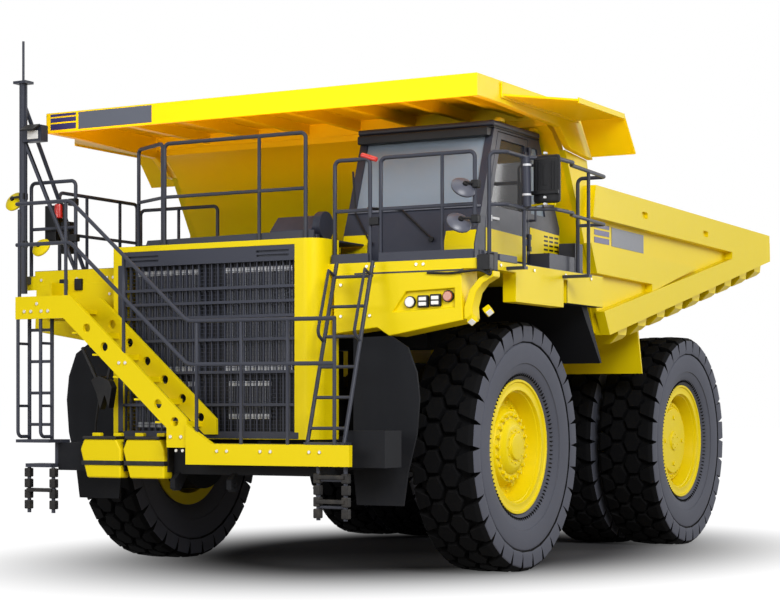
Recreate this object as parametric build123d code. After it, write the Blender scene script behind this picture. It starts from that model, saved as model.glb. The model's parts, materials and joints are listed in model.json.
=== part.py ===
from build123d import *
import math
import os

# Rigid-frame mining dump truck, millimetres.
# +X is the truck's front, +Y its left (cab) side, +Z up. The origin lies on the ground, in the
# middle of the overall length, so every distance along the truck is counted from the front axle.

# ---- overall sizes ----
length = 10290.0
wheelbase = 4950.0
front_overhang = 2700.0
axle_x = length / 2 - front_overhang
tail_x = -length / 2

# ---- wheels and tyres ----
tyre_radius = 1350.0
tyre_width = 740.0
rim_radius = 622.0
flange_radius = 724.0
flange_width = 30.0
rim_wall = 24.0
front_track = 4325.0
rear_track = 3500.0
dual_spacing = 830.0
hub_gap = 8.0
spindle_radius = 150.0
hub_radius = 330.0
kingpin_y = 1600.0
wheel_gap = 12.0

# ---- dump body ----
body_half_width = 2760.0
body_wall = 70.0
rail_depth = 110.0
floor_thickness = 60.0
floor_slope = 12.0
floor_front_x = -1730.0
floor_front_z = 2610.0
body_top_z = 4290.0
body_tail_top_z = 4215.0
canopy_front_x = 1630.0
canopy_top_z = 5110.0
canopy_edge_depth = 230.0
canopy_half_width = 2730.0
canopy_skin = 30.0
wing_reach = 570.0
wing_half_width = canopy_half_width + wing_reach
piece_gap = 1.0
pivot_x = -6380.0
pivot_z = 2120.0
pivot_pin_radius = 70.0
pivot_gap = 6.0
sill_gap = 8.0

# ---- chassis ----
frame_half_width = 560.0
frame_rail_width = 160.0
frame_top_z = 2350.0
deck_top_z = 3250.0
deck_depth = 100.0
deck_front_x = 1860.0
deck_rear_x = -1300.0
deck_half_width = 2850.0
deck_corner = 420.0
hood_half_width = 1150.0
hood_top_z = 3500.0
hood_rear_x = 1125.0
grille_x = 2100.0
grille_bottom_z = 1500.0
tube_radius = 21.0

# ---- cab ----
cab_rear_x = -1000.0
cab_rear_top_x = -440.0
cab_rear_waist_z = 3780.0
cab_nose_x = 1120.0
cab_sill_x = 960.0
cab_brow_x = 660.0
cab_right_y = 850.0
cab_left_y = 2450.0
cab_waist_z = 3860.0
cab_roof_z = 4720.0
cab_wall = 50.0
roof_thickness = 60.0
door_front_x = 570.0
door_waist_x = 830.0
door_low_x = 880.0
door_rear_x = -150.0
door_gap = 8.0
glass_thickness = 8.0


# ---- small helpers: all x values passed in are counted from the front axle ----
def box(x0, x1, y0, y1, z0, z1):
    block = Box(abs(x1 - x0), abs(y1 - y0), abs(z1 - z0))
    return Pos(axle_x + (x0 + x1) / 2, (y0 + y1) / 2, (z0 + z1) / 2) * block


def side_plate(points, y0, y1):
    """A closed outline of (x, z) points, extruded across the truck from y0 to y1."""
    low = min(y0, y1)
    face = make_face(Polyline([(axle_x + x, low, z) for x, z in points], close=True))
    return extrude(face, amount=abs(y1 - y0), dir=(0, 1, 0))


def front_plate(points, x0, x1):
    """A closed outline of (y, z) points, extruded along the truck from x0 to x1."""
    low = min(x0, x1)
    face = make_face(Polyline([(axle_x + low, y, z) for y, z in points], close=True))
    return extrude(face, amount=abs(x1 - x0), dir=(1, 0, 0))


def plan_plate(points, z0, z1):
    """A closed outline of (x, y) points, extruded upwards from z0 to z1."""
    face = make_face(Polyline([(axle_x + x, y, z0) for x, y in points], close=True))
    return extrude(face, amount=z1 - z0, dir=(0, 0, 1))


def rod(a, b, radius):
    """A round bar between two (x, y, z) points."""
    start = Vector(axle_x + a[0], a[1], a[2])
    end = Vector(axle_x + b[0], b[1], b[2])
    way = end - start
    circle = Plane(origin=start, z_dir=way.normalized()) * Circle(radius)
    return extrude(circle, amount=way.length)


def bent_tube(points, radius=tube_radius, bend=90.0):
    """A round tube along straight runs joined by tangent arcs."""
    route = [(axle_x + x, y, z) for x, y, z in points]
    path = FilletPolyline(*route, radius=bend)
    section = Plane(origin=path @ 0, z_dir=path % 0) * Circle(radius)
    return sweep(section, path=path)


def cross_pin(x, z, y0, y1, radius):
    low = min(y0, y1)
    return rod((x, low, z), (x, max(y0, y1), z), radius)


def ring(x, z, y0, y1, outer, inner):
    low, high = min(y0, y1), max(y0, y1)
    return cross_pin(x, z, low, high, outer) - cross_pin(x, z, low - 10, high + 10, inner)


def turned(points, x, y, z):
    """A closed (distance along the axle, radius) outline spun about a cross axis."""
    line = Polyline([(along, 0, radius) for along, radius in points], close=True)
    solid = revolve(make_face(line), axis=Axis.X)
    return Pos(axle_x + x, y, z) * (Rot(0, 0, 90) * solid)


def join(shapes):
    whole = shapes[0]
    for shape in shapes[1:]:
        whole = whole + shape
    return whole


def mirrored(shape):
    return mirror(shape, about=Plane.XZ)


def both(shape):
    return Compound(children=list(shape.solids()) + list(mirrored(shape).solids()))


nodes = {}

# ---- heights along the sloping floor ----
slope = math.tan(math.radians(floor_slope))


def floor_under_z(x):
    return floor_front_z + (floor_front_x - x) * slope


# =====================================================================
# Tyres and rims
# =====================================================================
half_tyre = tyre_width / 2
bead_half = half_tyre * 0.62
flank_half = half_tyre - 20
lug_pitches = 30
lug_share = 0.62
notch_depth = 78.0
shoulder_radius = 1120.0
flank_radius = 930.0
bead_radius = flange_radius + 16
bore_radius = rim_radius + 0.5
# the flat faces round the tyre are as many as its lugs, so a face's corners lie a little further out
corner_share = 1 / math.cos(math.pi / lug_pitches)


def round_outline(radii_at, y):
    """Points round the axle's line at y; radii_at holds (share of a pitch, radius) counted from the lowest lug."""
    points = []
    for lug in range(lug_pitches):
        for share, radius in radii_at:
            angle = math.tau * (lug + share) / lug_pitches
            points.append((radius * math.sin(angle), y, -radius * math.cos(angle)))
    return points


def prism(radii_at, y0, y1):
    face = make_face(Polyline(round_outline(radii_at, y0), close=True))
    return extrude(face, amount=y1 - y0, dir=(0, 1, 0))


def cone_of_flats(radius0, y0, radius1, y1):
    """A many-sided cone between two sizes along the axle's line, all its faces flat."""
    first = round_outline([(0.5, radius0 * corner_share)], y0)
    last = round_outline([(0.5, radius1 * corner_share)], y1)
    faces = [make_face(Polyline(first, close=True)), make_face(Polyline(last, close=True))]
    for i in range(lug_pitches):
        j = (i + 1) % lug_pitches
        faces.append(make_face(Polyline([first[i], first[j], last[j], last[i]], close=True)))
    return Solid(Shell([part.faces()[0] for part in faces]))


def flats(radius, y0, y1):
    return prism([(0.5, radius * corner_share)], y0, y1)


half_lug = lug_share / 2
lug_corner = tyre_radius / math.cos(math.tau * half_lug / lug_pitches)
lugs = [(-half_lug, lug_corner), (half_lug, lug_corner), (0.5, tyre_radius - notch_depth)]
tyre_solid = prism(lugs, -half_tyre, half_tyre) - flats(bore_radius, -half_tyre - 10, half_tyre + 10)
for side in (1, -1):
    tyre_solid = tyre_solid - flats(shoulder_radius, *sorted((side * flank_half, side * (half_tyre + 10))))
    tyre_solid = tyre_solid - cone_of_flats(flank_radius, side * flank_half, bead_radius, side * bead_half)


def tyre(x, y):
    return Pos(axle_x + x, y, tyre_radius) * tyre_solid


# the wheel's outer face from its barrel in to the axle: distance past the dish, radius
front_face_steps = (
    (20, 560), (22, 450), (40, 425), (120, 395), (135, 380), (140, 300), (165, 285), (196, 215),
    (196, 150), (222, 140), (228, 120), (228, 0),
)
rear_face_steps = (
    (15, 560), (15, 515), (80, 505), (85, 425), (125, 415), (130, 405), (130, 130), (148, 120), (150, 0),
)
dish_half = 20.0
hub_depth = 60.0
outer_dish = 20.0
inner_dish = 60.0
spindle_end = 150.0
cap_gap = 15.0


def rim(x, y, side, bore, dish, steps, cap_in):
    """One rim: barrel, flanges, dish and hub; its steps face out on +Y or -Y and close the bore at cap_in."""
    inner = rim_radius - rim_wall
    outline = [
        (dish - dish_half, inner),
        (-bead_half - flange_width, inner),
        (-bead_half - flange_width, flange_radius),
        (-bead_half, flange_radius),
        (-bead_half, rim_radius),
        (bead_half, rim_radius),
        (bead_half, flange_radius),
        (bead_half + flange_width, flange_radius),
        (bead_half + flange_width, flange_radius - 20),
        (bead_half + 14, flange_radius - 34),
        (bead_half + 14, inner + 12),
        (bead_half - 20, inner + 4),
        (dish + 50, inner - 25),
    ]
    outline += [(dish + past, radius) for past, radius in steps]
    if cap_in is not None:
        outline.append((cap_in, 0))
        outline.append((cap_in, bore))
    outline += [(dish - hub_depth, bore), (dish - hub_depth, hub_radius), (dish - dish_half, hub_radius)]
    outline = [(along * side, radius) for along, radius in outline]
    return turned(outline, x, y, tyre_radius)


front_wheel_y = front_track / 2
outer_dual_y = rear_track / 2 + dual_spacing / 2
inner_dual_y = rear_track / 2 - dual_spacing / 2
sides = (("left", 1), ("right", -1))
axle_sleeve_radius = 285.0
sleeve_bore = axle_sleeve_radius + hub_gap
spindle_bore = spindle_radius + hub_gap
final_drive_bore = 120.0
# the inner rim of a pair has a plain hub, open for the axle's sleeve
inner_face_steps = ((dish_half, 560), (dish_half, hub_radius), (160, hub_radius - 10), (160, sleeve_bore))
barrel_end = bead_half + flange_width
drum_outer = rim_radius - rim_wall + 20
drum_inner = rim_radius - rim_wall - 60
drum_lap = 40.0
for name, side in sides:
    nodes["tyre_front_" + name] = tyre(0, side * front_wheel_y)
    nodes["rim_front_" + name] = rim(
        0, side * front_wheel_y, side, spindle_bore, outer_dish, front_face_steps, spindle_end + cap_gap
    )
    rear_tyres = [tyre(-wheelbase, side * y) for y in (outer_dual_y, inner_dual_y)]
    nodes["tyres_rear_" + name] = Compound(children=[s for t in rear_tyres for s in t.solids()])
    outer = rim(
        -wheelbase, side * outer_dual_y, side, final_drive_bore, outer_dish, rear_face_steps, outer_dish + hub_depth
    )
    inner = rim(-wheelbase, side * inner_dual_y, side, sleeve_bore, inner_dish, inner_face_steps, None)
    drum = ring(
        -wheelbase,
        tyre_radius,
        side * (inner_dual_y + barrel_end - drum_lap),
        side * (outer_dual_y - barrel_end + drum_lap),
        drum_outer,
        drum_inner,
    )
    nodes["rim_rear_" + name] = outer + inner + drum

# =====================================================================
# Steering: knuckles on the strut axes and the tie rod between them
# =====================================================================
strut_radius = 140.0
strut_bottom_z = 1900.0
arm_x = -620.0
arm_y = kingpin_y
arm_z = 1180.0
for name, side in sides:
    upright = box(-190, 190, side * (kingpin_y - 120), side * (kingpin_y + 90), 980, 1720)
    post = rod((0, side * kingpin_y, 1700), (0, side * kingpin_y, strut_bottom_z - 20), strut_radius - 30)
    spindle = cross_pin(0, tyre_radius, side * kingpin_y, side * (front_wheel_y + spindle_end), spindle_radius)
    brake = cross_pin(
        0,
        tyre_radius,
        side * (kingpin_y + 80),
        side * (front_wheel_y - 120),
        rim_radius - rim_wall - 70,
    )
    arm = side_plate(
        [(-120, 1080), (-120, 1280), (arm_x - 60, 1230), (arm_x - 60, 1130)],
        side * (arm_y - 40),
        side * (arm_y + 40),
    )
    pin = rod((arm_x, side * arm_y, 1060), (arm_x, side * arm_y, 1180), 30)
    nodes["knuckle_" + name] = upright + post + spindle + brake + arm + pin

tie_z = 1070.0
tie = rod((arm_x, -arm_y + 60, tie_z), (arm_x, arm_y - 60, tie_z), 38)
eyes = []
for side in (1, -1):
    eye = rod((arm_x, side * arm_y, tie_z - 35), (arm_x, side * arm_y, tie_z + 35), 68)
    bore = rod((arm_x, side * arm_y, tie_z - 45), (arm_x, side * arm_y, tie_z + 45), 33)
    eyes.append(eye - bore)
nodes["tie_rod"] = tie + eyes[0] + eyes[1]

# =====================================================================
# Chassis frame, axles, struts
# =====================================================================
rail_in = frame_half_width - frame_rail_width
rail_end_radius = frame_top_z - pivot_z
rail_outline = [
    (2050, 1080),
    (2050, 1430),
    (400, 1460),
    (-700, 1800),
    (-1750, frame_top_z),
    (pivot_x, frame_top_z),
    (pivot_x, pivot_z - rail_end_radius),
    (-5950, 1880),
    (-1900, 1860),
    (-900, 1380),
]
rail = side_plate(rail_outline, rail_in, frame_half_width)
rail = rail + cross_pin(pivot_x, pivot_z, rail_in, frame_half_width, rail_end_radius)
rail = rail - cross_pin(pivot_x, pivot_z, rail_in - 10, frame_half_width + 10, pivot_pin_radius + pivot_gap)
# cross members: x, half length along x, z low, z high
cross_members = (
    (1450, 120, 1200, 1450),
    (-1100, 140, 1450, 1800),
    (-3300, 140, 1880, 2250),
    (-5200, 140, 1900, 2250),
    (-5800, 120, 1900, 2250),
)
frame = rail + mirrored(rail)
for x, half, z0, z1 in cross_members:
    frame = frame + box(x - half, x + half, -rail_in - 20, rail_in + 20, z0, z1)
# the strut tower stands across the rails over the front axle
tower_top_z = 2700.0
tower = box(-230, 230, -kingpin_y + 180, kingpin_y - 180, 2420, tower_top_z)
tower = tower + box(-150, 150, -kingpin_y - 100, kingpin_y + 100, 2420, tower_top_z)
tower = tower + both(box(-200, 200, rail_in, frame_half_width, 1500, 2430))
frame = frame + tower
# lower hoist brackets outside the rails
hoist_y = 780.0
hoist_low = (-3000.0, 1150.0)
hoist_pin_radius = 55.0
hoist_eye_width = 120.0
bracket = side_plate(
    [(-2750, 1870), (-3250, 1870), (-3130, 1010), (-2870, 1010)], rail_in, frame_half_width
)
hoist_pin = cross_pin(hoist_low[0], hoist_low[1], frame_half_width - 60, hoist_y + 95, hoist_pin_radius)
frame = frame + bracket + mirrored(bracket) + hoist_pin + mirrored(hoist_pin)
nodes["frame_rails"] = frame

# struts: the cylinders hang from the tower, each on its steering axis
strut = rod((0, kingpin_y, strut_bottom_z), (0, kingpin_y, 2420), strut_radius)
nodes["front_struts"] = both(strut)

axle_ball = Pos(axle_x - wheelbase, 0, tyre_radius) * Sphere(470)
axle_half = inner_dual_y + barrel_end - drum_lap
axle_tube = cross_pin(-wheelbase, tyre_radius, -axle_half, axle_half, axle_sleeve_radius)
axle_nose = rod((-wheelbase + 420, 0, tyre_radius), (-wheelbase + 900, 0, tyre_radius + 60), 210)
rear_axle = axle_ball + axle_tube + axle_nose
a_frame = plan_plate(
    [
        (-wheelbase + 250, -420),
        (-wheelbase + 1500, -120),
        (-wheelbase + 1500, 120),
        (-wheelbase + 250, 420),
    ],
    980,
    1120,
)
rear_axle = rear_axle + a_frame
rear_strut = rod((-wheelbase - 330, 760, 1400), (-wheelbase - 420, 760, 2180), 105)
strut_foot = box(-wheelbase - 440, -wheelbase, 660, 860, 1250, 1430)
rear_axle = rear_axle + strut_foot + mirrored(strut_foot) + rear_strut + mirrored(rear_strut)
nodes["rear_axle"] = rear_axle

nodes["engine"] = box(260, 1640, -frame_half_width + 180, frame_half_width - 180, 1470, 2400)
nodes["transmission"] = box(-2300, -1300, -330, 330, 1250, 1800)

# tanks on the outside of the rails, between the wheels
tank_y0 = frame_half_width + 10
fuel_tank = box(-2700, -1750, -tank_y0 - 700, -tank_y0, 950, 1750)
oil_tank = box(-2600, -1850, tank_y0, tank_y0 + 560, 1000, 1700)

# =====================================================================
# Dump body
# =====================================================================
floor_tail_x = tail_x - axle_x
side_top = [
    (-1310, 4570),
    (-1400, body_top_z),
    (floor_tail_x + 30, body_tail_top_z),
    (floor_tail_x, floor_under_z(floor_tail_x)),
    (floor_front_x, floor_front_z),
    (-1075, 3970),
    (-700, 4620),
]
# x, z of each lifting hole
lifting_holes = ((-2810, 4080), (-4930, 4030))
hole_half = 38.0
hole_sink = 40.0
for name, side in sides:
    y_in = side * (body_half_width - rail_depth - body_wall)
    y_mid = side * (body_half_width - rail_depth)
    y_out = side * body_half_width
    wall = side_plate(side_top, y_in, y_mid)
    top_rail = side_plate(
        [
            (-1240, 3925),
            (-1310, body_top_z),
            (floor_tail_x + 30, body_tail_top_z),
            (floor_tail_x + 20, 4090),
            (-5970, 3780),
            (-5970, 3870),
        ],
        y_mid - side * 5,
        y_out,
    )
    lower_rail = side_plate(
        [
            (floor_front_x, floor_front_z),
            (-1560, 2870),
            (floor_tail_x + 15, 4110),
            (floor_tail_x, floor_under_z(floor_tail_x)),
        ],
        y_mid - side * 5,
        y_out,
    )
    middle_rail = side_plate(
        [(-1220, 3630), (-4700, 3580), (-3100, 3180), (-3100, 3275), (-1400, 3300)],
        y_mid - side * 5,
        y_out - side * 20,
    )
    body_side = wall + top_rail + lower_rail + middle_rail
    # lifting holes: long ovals sunk in the top rail
    for x, z in lifting_holes:
        pocket_in = y_out - side * hole_sink
        pocket = box(x - 60, x + 60, pocket_in, y_out + side * 10, z - hole_half, z + hole_half)
        for end in (-60, 60):
            pocket = pocket + cross_pin(x + end, z, pocket_in, y_out + side * 10, hole_half)
        body_side = body_side - pocket
    nodes["body_side_" + name] = body_side

inner_half = body_half_width - rail_depth - body_wall - 0.5
floor_plate = side_plate(
    [
        (floor_front_x + 40, floor_front_z + 80),
        (floor_tail_x, floor_under_z(floor_tail_x) + 80),
        (floor_tail_x, floor_under_z(floor_tail_x) + 80 - floor_thickness),
        (floor_front_x + 40, floor_front_z + 80 - floor_thickness),
    ],
    -inner_half,
    inner_half,
)
# sills rest over the frame rails and fill the wedge under the sloping floor
sill_bottom_z = frame_top_z + sill_gap
sill = side_plate(
    [
        (floor_front_x - 60, sill_bottom_z),
        (floor_front_x - 60, floor_under_z(floor_front_x) + 30),
        (pivot_x - 250, floor_under_z(pivot_x - 250) + 30),
        (pivot_x - 250, sill_bottom_z),
    ],
    rail_in,
    frame_half_width,
)
ear_in = rail_in - wheel_gap - 60
ear = side_plate(
    [
        (pivot_x + 260, floor_under_z(pivot_x + 260) + 30),
        (pivot_x + 150, pivot_z - 60),
        (pivot_x + 60, pivot_z - 140),
        (pivot_x - 60, pivot_z - 140),
        (pivot_x - 150, pivot_z - 60),
        (pivot_x - 240, floor_under_z(pivot_x - 240) + 30),
    ],
    ear_in,
    ear_in + 60,
)
pivot_pin = cross_pin(pivot_x, pivot_z, ear_in, frame_half_width + 60, pivot_pin_radius)
floor = floor_plate
for piece in (sill, ear, pivot_pin):
    floor = floor + piece + mirrored(piece)
# cross ribs under the floor, narrower below, with slanted ends out under the side's lower rail
rib_first_x = -2250.0
rib_spacing = 620.0
rib_count = 9
rib_depth = 165.0
rib_half = 150.0
rib_foot_half = 95.0
rib_half_width = body_half_width - 60
rib_foot_width = rib_half_width - 130
for i in range(rib_count):
    x = rib_first_x - i * rib_spacing
    rear_z, front_z = floor_under_z(x - rib_half), floor_under_z(x + rib_half)
    foot = [(x + rib_foot_half, front_z - rib_depth), (x - rib_foot_half, rear_z - rib_depth)]
    neck = side_plate(
        [(x + rib_half, front_z + 30), (x - rib_half, rear_z + 30), (x - rib_half, rear_z - 20), (x + rib_half, front_z - 20)],
        -inner_half + 5,
        inner_half - 5,
    )
    rib = side_plate([(x + rib_half, front_z - 1), (x - rib_half, rear_z - 1)] + foot[::-1], -rib_half_width, rib_half_width)
    ends = front_plate(
        [
            (-rib_half_width, rear_z + 40),
            (rib_half_width, rear_z + 40),
            (rib_half_width, front_z - 60),
            (rib_foot_width, front_z - rib_depth - 10),
            (-rib_foot_width, front_z - rib_depth - 10),
            (-rib_half_width, front_z - 60),
        ],
        x - rib_half - 10,
        x + rib_half + 10,
    )
    rib = (rib & ends) + neck
    if abs(x + 3450) < 350:
        for y in (hoist_y, -hoist_y):
            rib = rib - box(x - rib_half - 10, x + rib_half + 10, y - 170, y + 170, front_z - rib_depth - 20, rear_z)
    floor = floor + rib
# upper hoist brackets: one plate each side of the rod's eye, and the pin between them
hoist_high = (-3450.0, 2850.0)
for y in (hoist_y - 110, hoist_y + 80):
    plate = side_plate(
        [
            (hoist_high[0] + 200, floor_under_z(hoist_high[0] + 200) + 40),
            (hoist_high[0] + 90, hoist_high[1] - 100),
            (hoist_high[0] - 90, hoist_high[1] - 100),
            (hoist_high[0] - 200, floor_under_z(hoist_high[0] - 200) + 40),
        ],
        y,
        y + 30,
    )
    floor = floor + plate + mirrored(plate)
# mud panels hang in front of the rear tyres
mud = side_plate([(-3180, 2990), (-3420, 2200), (-3440, 2200), (-3240, 2990)], 960, 2480)
floor = floor + mud + mirrored(mud)
nodes["body_floor"] = floor

# the front wall leans forward up to the canopy
front_wall = side_plate(
    [
        (floor_front_x + 41, floor_front_z + 20),
        (-1075, 3970),
        (-700, 4620),
        (-520, 4790),
        (-380, 4850),
        (-380, 4920),
        (-560, 4890),
        (-780, 4700),
        (-1140, 3980),
        (floor_front_x - 20, floor_front_z + 82),
    ],
    -inner_half,
    inner_half,
)
front_ribs = (-1900, -1200, -500, 190, 900, 1600, 2250)
for y in front_ribs:
    front_rib = side_plate(
        [(-1560, 2950), (-1000, 3970), (-650, 4610), (-455, 4800), (-390, 4858), (-1080, 3980)],
        y - 45,
        y + 45,
    )
    front_wall = front_wall + front_rib
nodes["body_front_wall"] = front_wall - floor_plate

canopy_under_z = canopy_top_z - canopy_edge_depth
canopy_rear_x = -379.0
canopy = box(canopy_rear_x, canopy_front_x, -canopy_half_width, canopy_half_width, canopy_top_z - canopy_skin, canopy_top_z)
canopy = canopy + box(
    canopy_front_x - 40, canopy_front_x, -canopy_half_width, canopy_half_width, canopy_under_z, canopy_top_z
)
canopy_side = side_plate(
    [
        (canopy_front_x, canopy_under_z),
        (1100, 4880),
        (-380, 4830),
        (-640, 4645),
        (-700, 4621),
        (-1309, 4571),
        (-880, canopy_top_z),
        (canopy_front_x, canopy_top_z),
    ],
    canopy_half_width - 80,
    canopy_half_width,
)
canopy = canopy + canopy_side + mirrored(canopy_side)
for y in front_ribs:
    canopy = canopy + box(canopy_rear_x, canopy_front_x - 30, y - 45, y + 45, 4960, canopy_top_z - 20)
# the top goes on behind the front wall's head as a sloping apron
apron = side_plate(
    [(-379, canopy_top_z), (-379, 4921), (-562, 4891), (-800, 4900), (-880, canopy_top_z)],
    -canopy_half_width,
    canopy_half_width,
)
nodes["body_canopy"] = canopy + apron

# side wings: a flat wing beside the canopy, its rear drop, its lip and the plate at its root
wing_front_x = 1100.0
wing_square_x = 400.0
wing_rear_x = -850.0
wing_drop_x = -1170.0
wing_z = canopy_under_z + 70
wing_skin = 25.0
root_y = canopy_half_width + piece_gap
wing = plan_plate(
    [
        (wing_front_x, root_y),
        (wing_square_x, wing_half_width),
        (wing_rear_x, wing_half_width),
        (wing_rear_x, root_y),
    ],
    wing_z,
    wing_z + wing_skin,
)
wing_drop = side_plate(
    [
        (wing_rear_x, wing_z),
        (wing_rear_x, wing_z + wing_skin),
        (wing_drop_x - 10, wing_z - 350),
        (wing_drop_x + 10, wing_z - 370),
    ],
    root_y + 40,
    wing_half_width,
)
wing_lip = side_plate(
    [
        (wing_square_x, wing_z - 20),
        (wing_square_x, wing_z + 40),
        (wing_rear_x, wing_z + 40),
        (wing_rear_x, wing_z - 20),
    ],
    wing_half_width - 20,
    wing_half_width,
)
wing_root = side_plate(
    [
        (wing_front_x, wing_z - 20),
        (wing_front_x, canopy_top_z - 20),
        (wing_rear_x - 30, canopy_top_z - 20),
        (wing_rear_x - 30, wing_z - 20),
    ],
    root_y,
    root_y + 20,
)
nodes["body_wings"] = both(wing + wing_drop + wing_lip + wing_root)

# =====================================================================
# Hoist: two telescopic cylinders in three stages
# =====================================================================
hoist_way = (hoist_high[0] - hoist_low[0], hoist_high[1] - hoist_low[1])
hoist_closed = math.hypot(*hoist_way)
hoist_unit = (hoist_way[0] / hoist_closed, hoist_way[1] / hoist_closed)


def along_hoist(distance, y):
    return (hoist_low[0] + hoist_unit[0] * distance, y, hoist_low[1] + hoist_unit[1] * distance)


# stage: outer radius, wall, start and end along the line between the pins
barrel = (118, 12, 60, 1440)
middle = (98, 12, 110, 1520)
rod_size = (76, 0, 170, 1700)
for name, side in sides:
    y = side * hoist_y
    radius, wall, start, end = barrel
    shell = rod(along_hoist(start, y), along_hoist(end, y), radius)
    shell = shell - rod(along_hoist(start + 30, y), along_hoist(end + 20, y), radius - wall)
    low_eye = ring(hoist_low[0], hoist_low[1], y - 60, y + 60, 105, hoist_pin_radius + 2)
    clear = cross_pin(hoist_low[0], hoist_low[1], y - 130, y + 130, hoist_pin_radius + 2)
    nodes["hoist_barrel_" + name] = (shell - clear) + low_eye
    radius, wall, start, end = middle
    shell = rod(along_hoist(start, y), along_hoist(end, y), radius)
    nodes["hoist_stage_" + name] = shell - rod(along_hoist(start + 30, y), along_hoist(end + 20, y), radius - wall)
    radius, wall, start, end = rod_size
    shaft = rod(along_hoist(start, y), along_hoist(end, y), radius)
    high_eye = cross_pin(hoist_high[0], hoist_high[1], y - 60, y + 60, 95)
    nodes["hoist_rod_" + name] = shaft + high_eye

# =====================================================================
# Front: crossmember, radiator, grille, lamps, mudguards, deck
# =====================================================================
crossmember = box(2051, 2400, -1480, 1480, 1080, 1400)
left_box = box(2100, 2440, 1700, 2130, 1175, 1540)
right_box = box(2100, 2440, -1900, -1520, 1100, 1395)
left_arm = box(2100, 2300, 1470, 1710, 1150, 1390)
right_arm = box(2100, 2300, -1530, -1470, 1150, 1390)
tow_pin_x = 2440.0
tow_pin_z = 975.0
tow_pin_radius = 32.0
tow_eye = side_plate(
    [(2250, 1100), (2399, 1100), (2505, 1030), (2505, 935), (2460, 910), (2400, 910)], 320, 380
)
tow_eye = tow_eye - cross_pin(tow_pin_x, tow_pin_z, 310, 390, tow_pin_radius)
nodes["front_crossmember"] = (
    crossmember + left_box + right_box + left_arm + right_arm + tow_eye + mirrored(tow_eye)
)

# radiator cores in front of their dark back: y from, y to, z from, z to
radiator_cores = (
    (-1175, -350, 2150, 3240),
    (-45, 800, 2150, 3240),
    (-1175, -350, 1560, 2050),
    (15, 535, 1650, 2050),
)
core_front_x = 2010.0
core_depth = 90.0
radiator = box(1700, core_front_x - core_depth, -1190, 860, 1520, 3330)
for y0, y1, z0, z1 in radiator_cores:
    radiator = radiator + box(core_front_x - core_depth - 5, core_front_x, y0, y1, z0, z1)
nodes["radiator"] = radiator

# the surround's left column is rounded on its outer corner, its top edge is a deep lip
grille_right_y = -1420.0
column_round = 170.0
column_steps = 5
opening = (-1300.0, 880.0, grille_bottom_z, 3440.0)
surround = [(1660, grille_right_y), (grille_x, grille_right_y)]
for i in range(column_steps + 1):
    angle = math.pi / 2 * i / column_steps
    x = grille_x - column_round * (1 - math.cos(angle))
    surround.append((x, hood_half_width - column_round * (1 - math.sin(angle))))
surround.append((1660, hood_half_width))
grille_outer = plan_plate(surround, grille_bottom_z - 60, hood_top_z)
grille_hole = box(1600, grille_x + 10, *opening)
grille_back = box(1600, 2031, grille_right_y + 30, hood_half_width - 180, grille_bottom_z - 50, 3470)
nodes["grille_frame"] = grille_outer - grille_hole - grille_back

# the grille: a border, a top band with two rows of slots, upright wires and cross bars
mesh_y0, mesh_y1 = opening[0] + 1, opening[1] - 1
mesh_z0, mesh_z1 = opening[2] + 1, opening[3] - 1
band_z = 3280.0
border = 22.0
band = box(2060, 2095, mesh_y0, mesh_y1, band_z, mesh_z1)
for centre in (mesh_y0 + 270, mesh_y1 - 270):
    for row in (0, 1):
        slot_z = band_z + 45 + row * 45
        band = band - box(2050, 2110, centre - 200, centre + 200, slot_z, slot_z + 22)
mesh = box(2040, 2062, mesh_y0, mesh_y1, mesh_z0, mesh_z1)
mesh = mesh - box(2030, 2070, mesh_y0 + border, mesh_y1 - border, mesh_z0 + border, band_z + 10)
mesh = mesh + band
for z in (1800, 2140, 2480, 2720, 2870, 3020):
    mesh = mesh + box(2055, 2085, mesh_y0, mesh_y1, z - 15, z + 15)
wire_count = 27
wire_half = 7.0
for i in range(1, wire_count):
    y = mesh_y0 + (mesh_y1 - mesh_y0) * i / wire_count
    mesh = mesh + box(2044, 2058, y - wire_half, y + wire_half, mesh_z0, band_z + 5)
nodes["grille"] = mesh

deck_outline = [
    (deck_front_x, -deck_half_width),
    (deck_front_x, -1431),
    (hood_rear_x, -1431),
    (hood_rear_x, hood_half_width + 11),
    (deck_front_x, hood_half_width + 11),
    (deck_front_x, deck_half_width - deck_corner),
    (deck_front_x - deck_corner * 0.6, deck_half_width),
    (deck_rear_x, deck_half_width),
    (deck_rear_x, -deck_half_width),
]
deck = plan_plate(deck_outline, deck_top_z - deck_depth, deck_top_z)
deck = deck + both(box(-180, 180, 1300, 1500, tower_top_z, deck_top_z - deck_depth + 10))
tool_box = box(-860, -180, 2460, 2700, deck_top_z - 5, 3440)
# what stands on the deck or hangs under its left edge: x from, x to, y from, y to, z from, z to
deck_pieces = (
    (deck_front_x - 22, deck_front_x, 1175, 1610, deck_top_z - 5, 3450),
    (deck_front_x - 22, deck_front_x, 1730, deck_half_width - deck_corner, deck_top_z - 5, 3450),
    (deck_front_x - 22, deck_front_x, -2700, -1450, deck_top_z - 5, 3430),
    (-220, 980, deck_half_width - 150, deck_half_width, 2850, deck_top_z - deck_depth + 5),
    (deck_rear_x, -310, deck_half_width - 130, deck_half_width, 2900, deck_top_z - deck_depth + 5),
    (-1080, -870, 2500, 2700, deck_top_z - 5, 3600),
)
for row in deck_pieces:
    deck = deck + box(*row)
nodes["deck"] = deck + tool_box

hood = box(hood_rear_x + 5, 1659, -1415, hood_half_width - 5, 3480, 3500)
hood = hood + box(1600, 1659, -1300, 880, 3490, 3580)
hood = hood + box(hood_rear_x + 5, hood_rear_x + 35, -1415, 840, deck_top_z - deck_depth, 3490)
intake = side_plate([(1160, 3495), (1160, 3800), (1420, 3800), (1580, 3640), (1580, 3495)], 250, 760)
drums = cross_pin(1390, 3690, 750, 840, 150)
nodes["hood"] = hood + intake + drums



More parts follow.
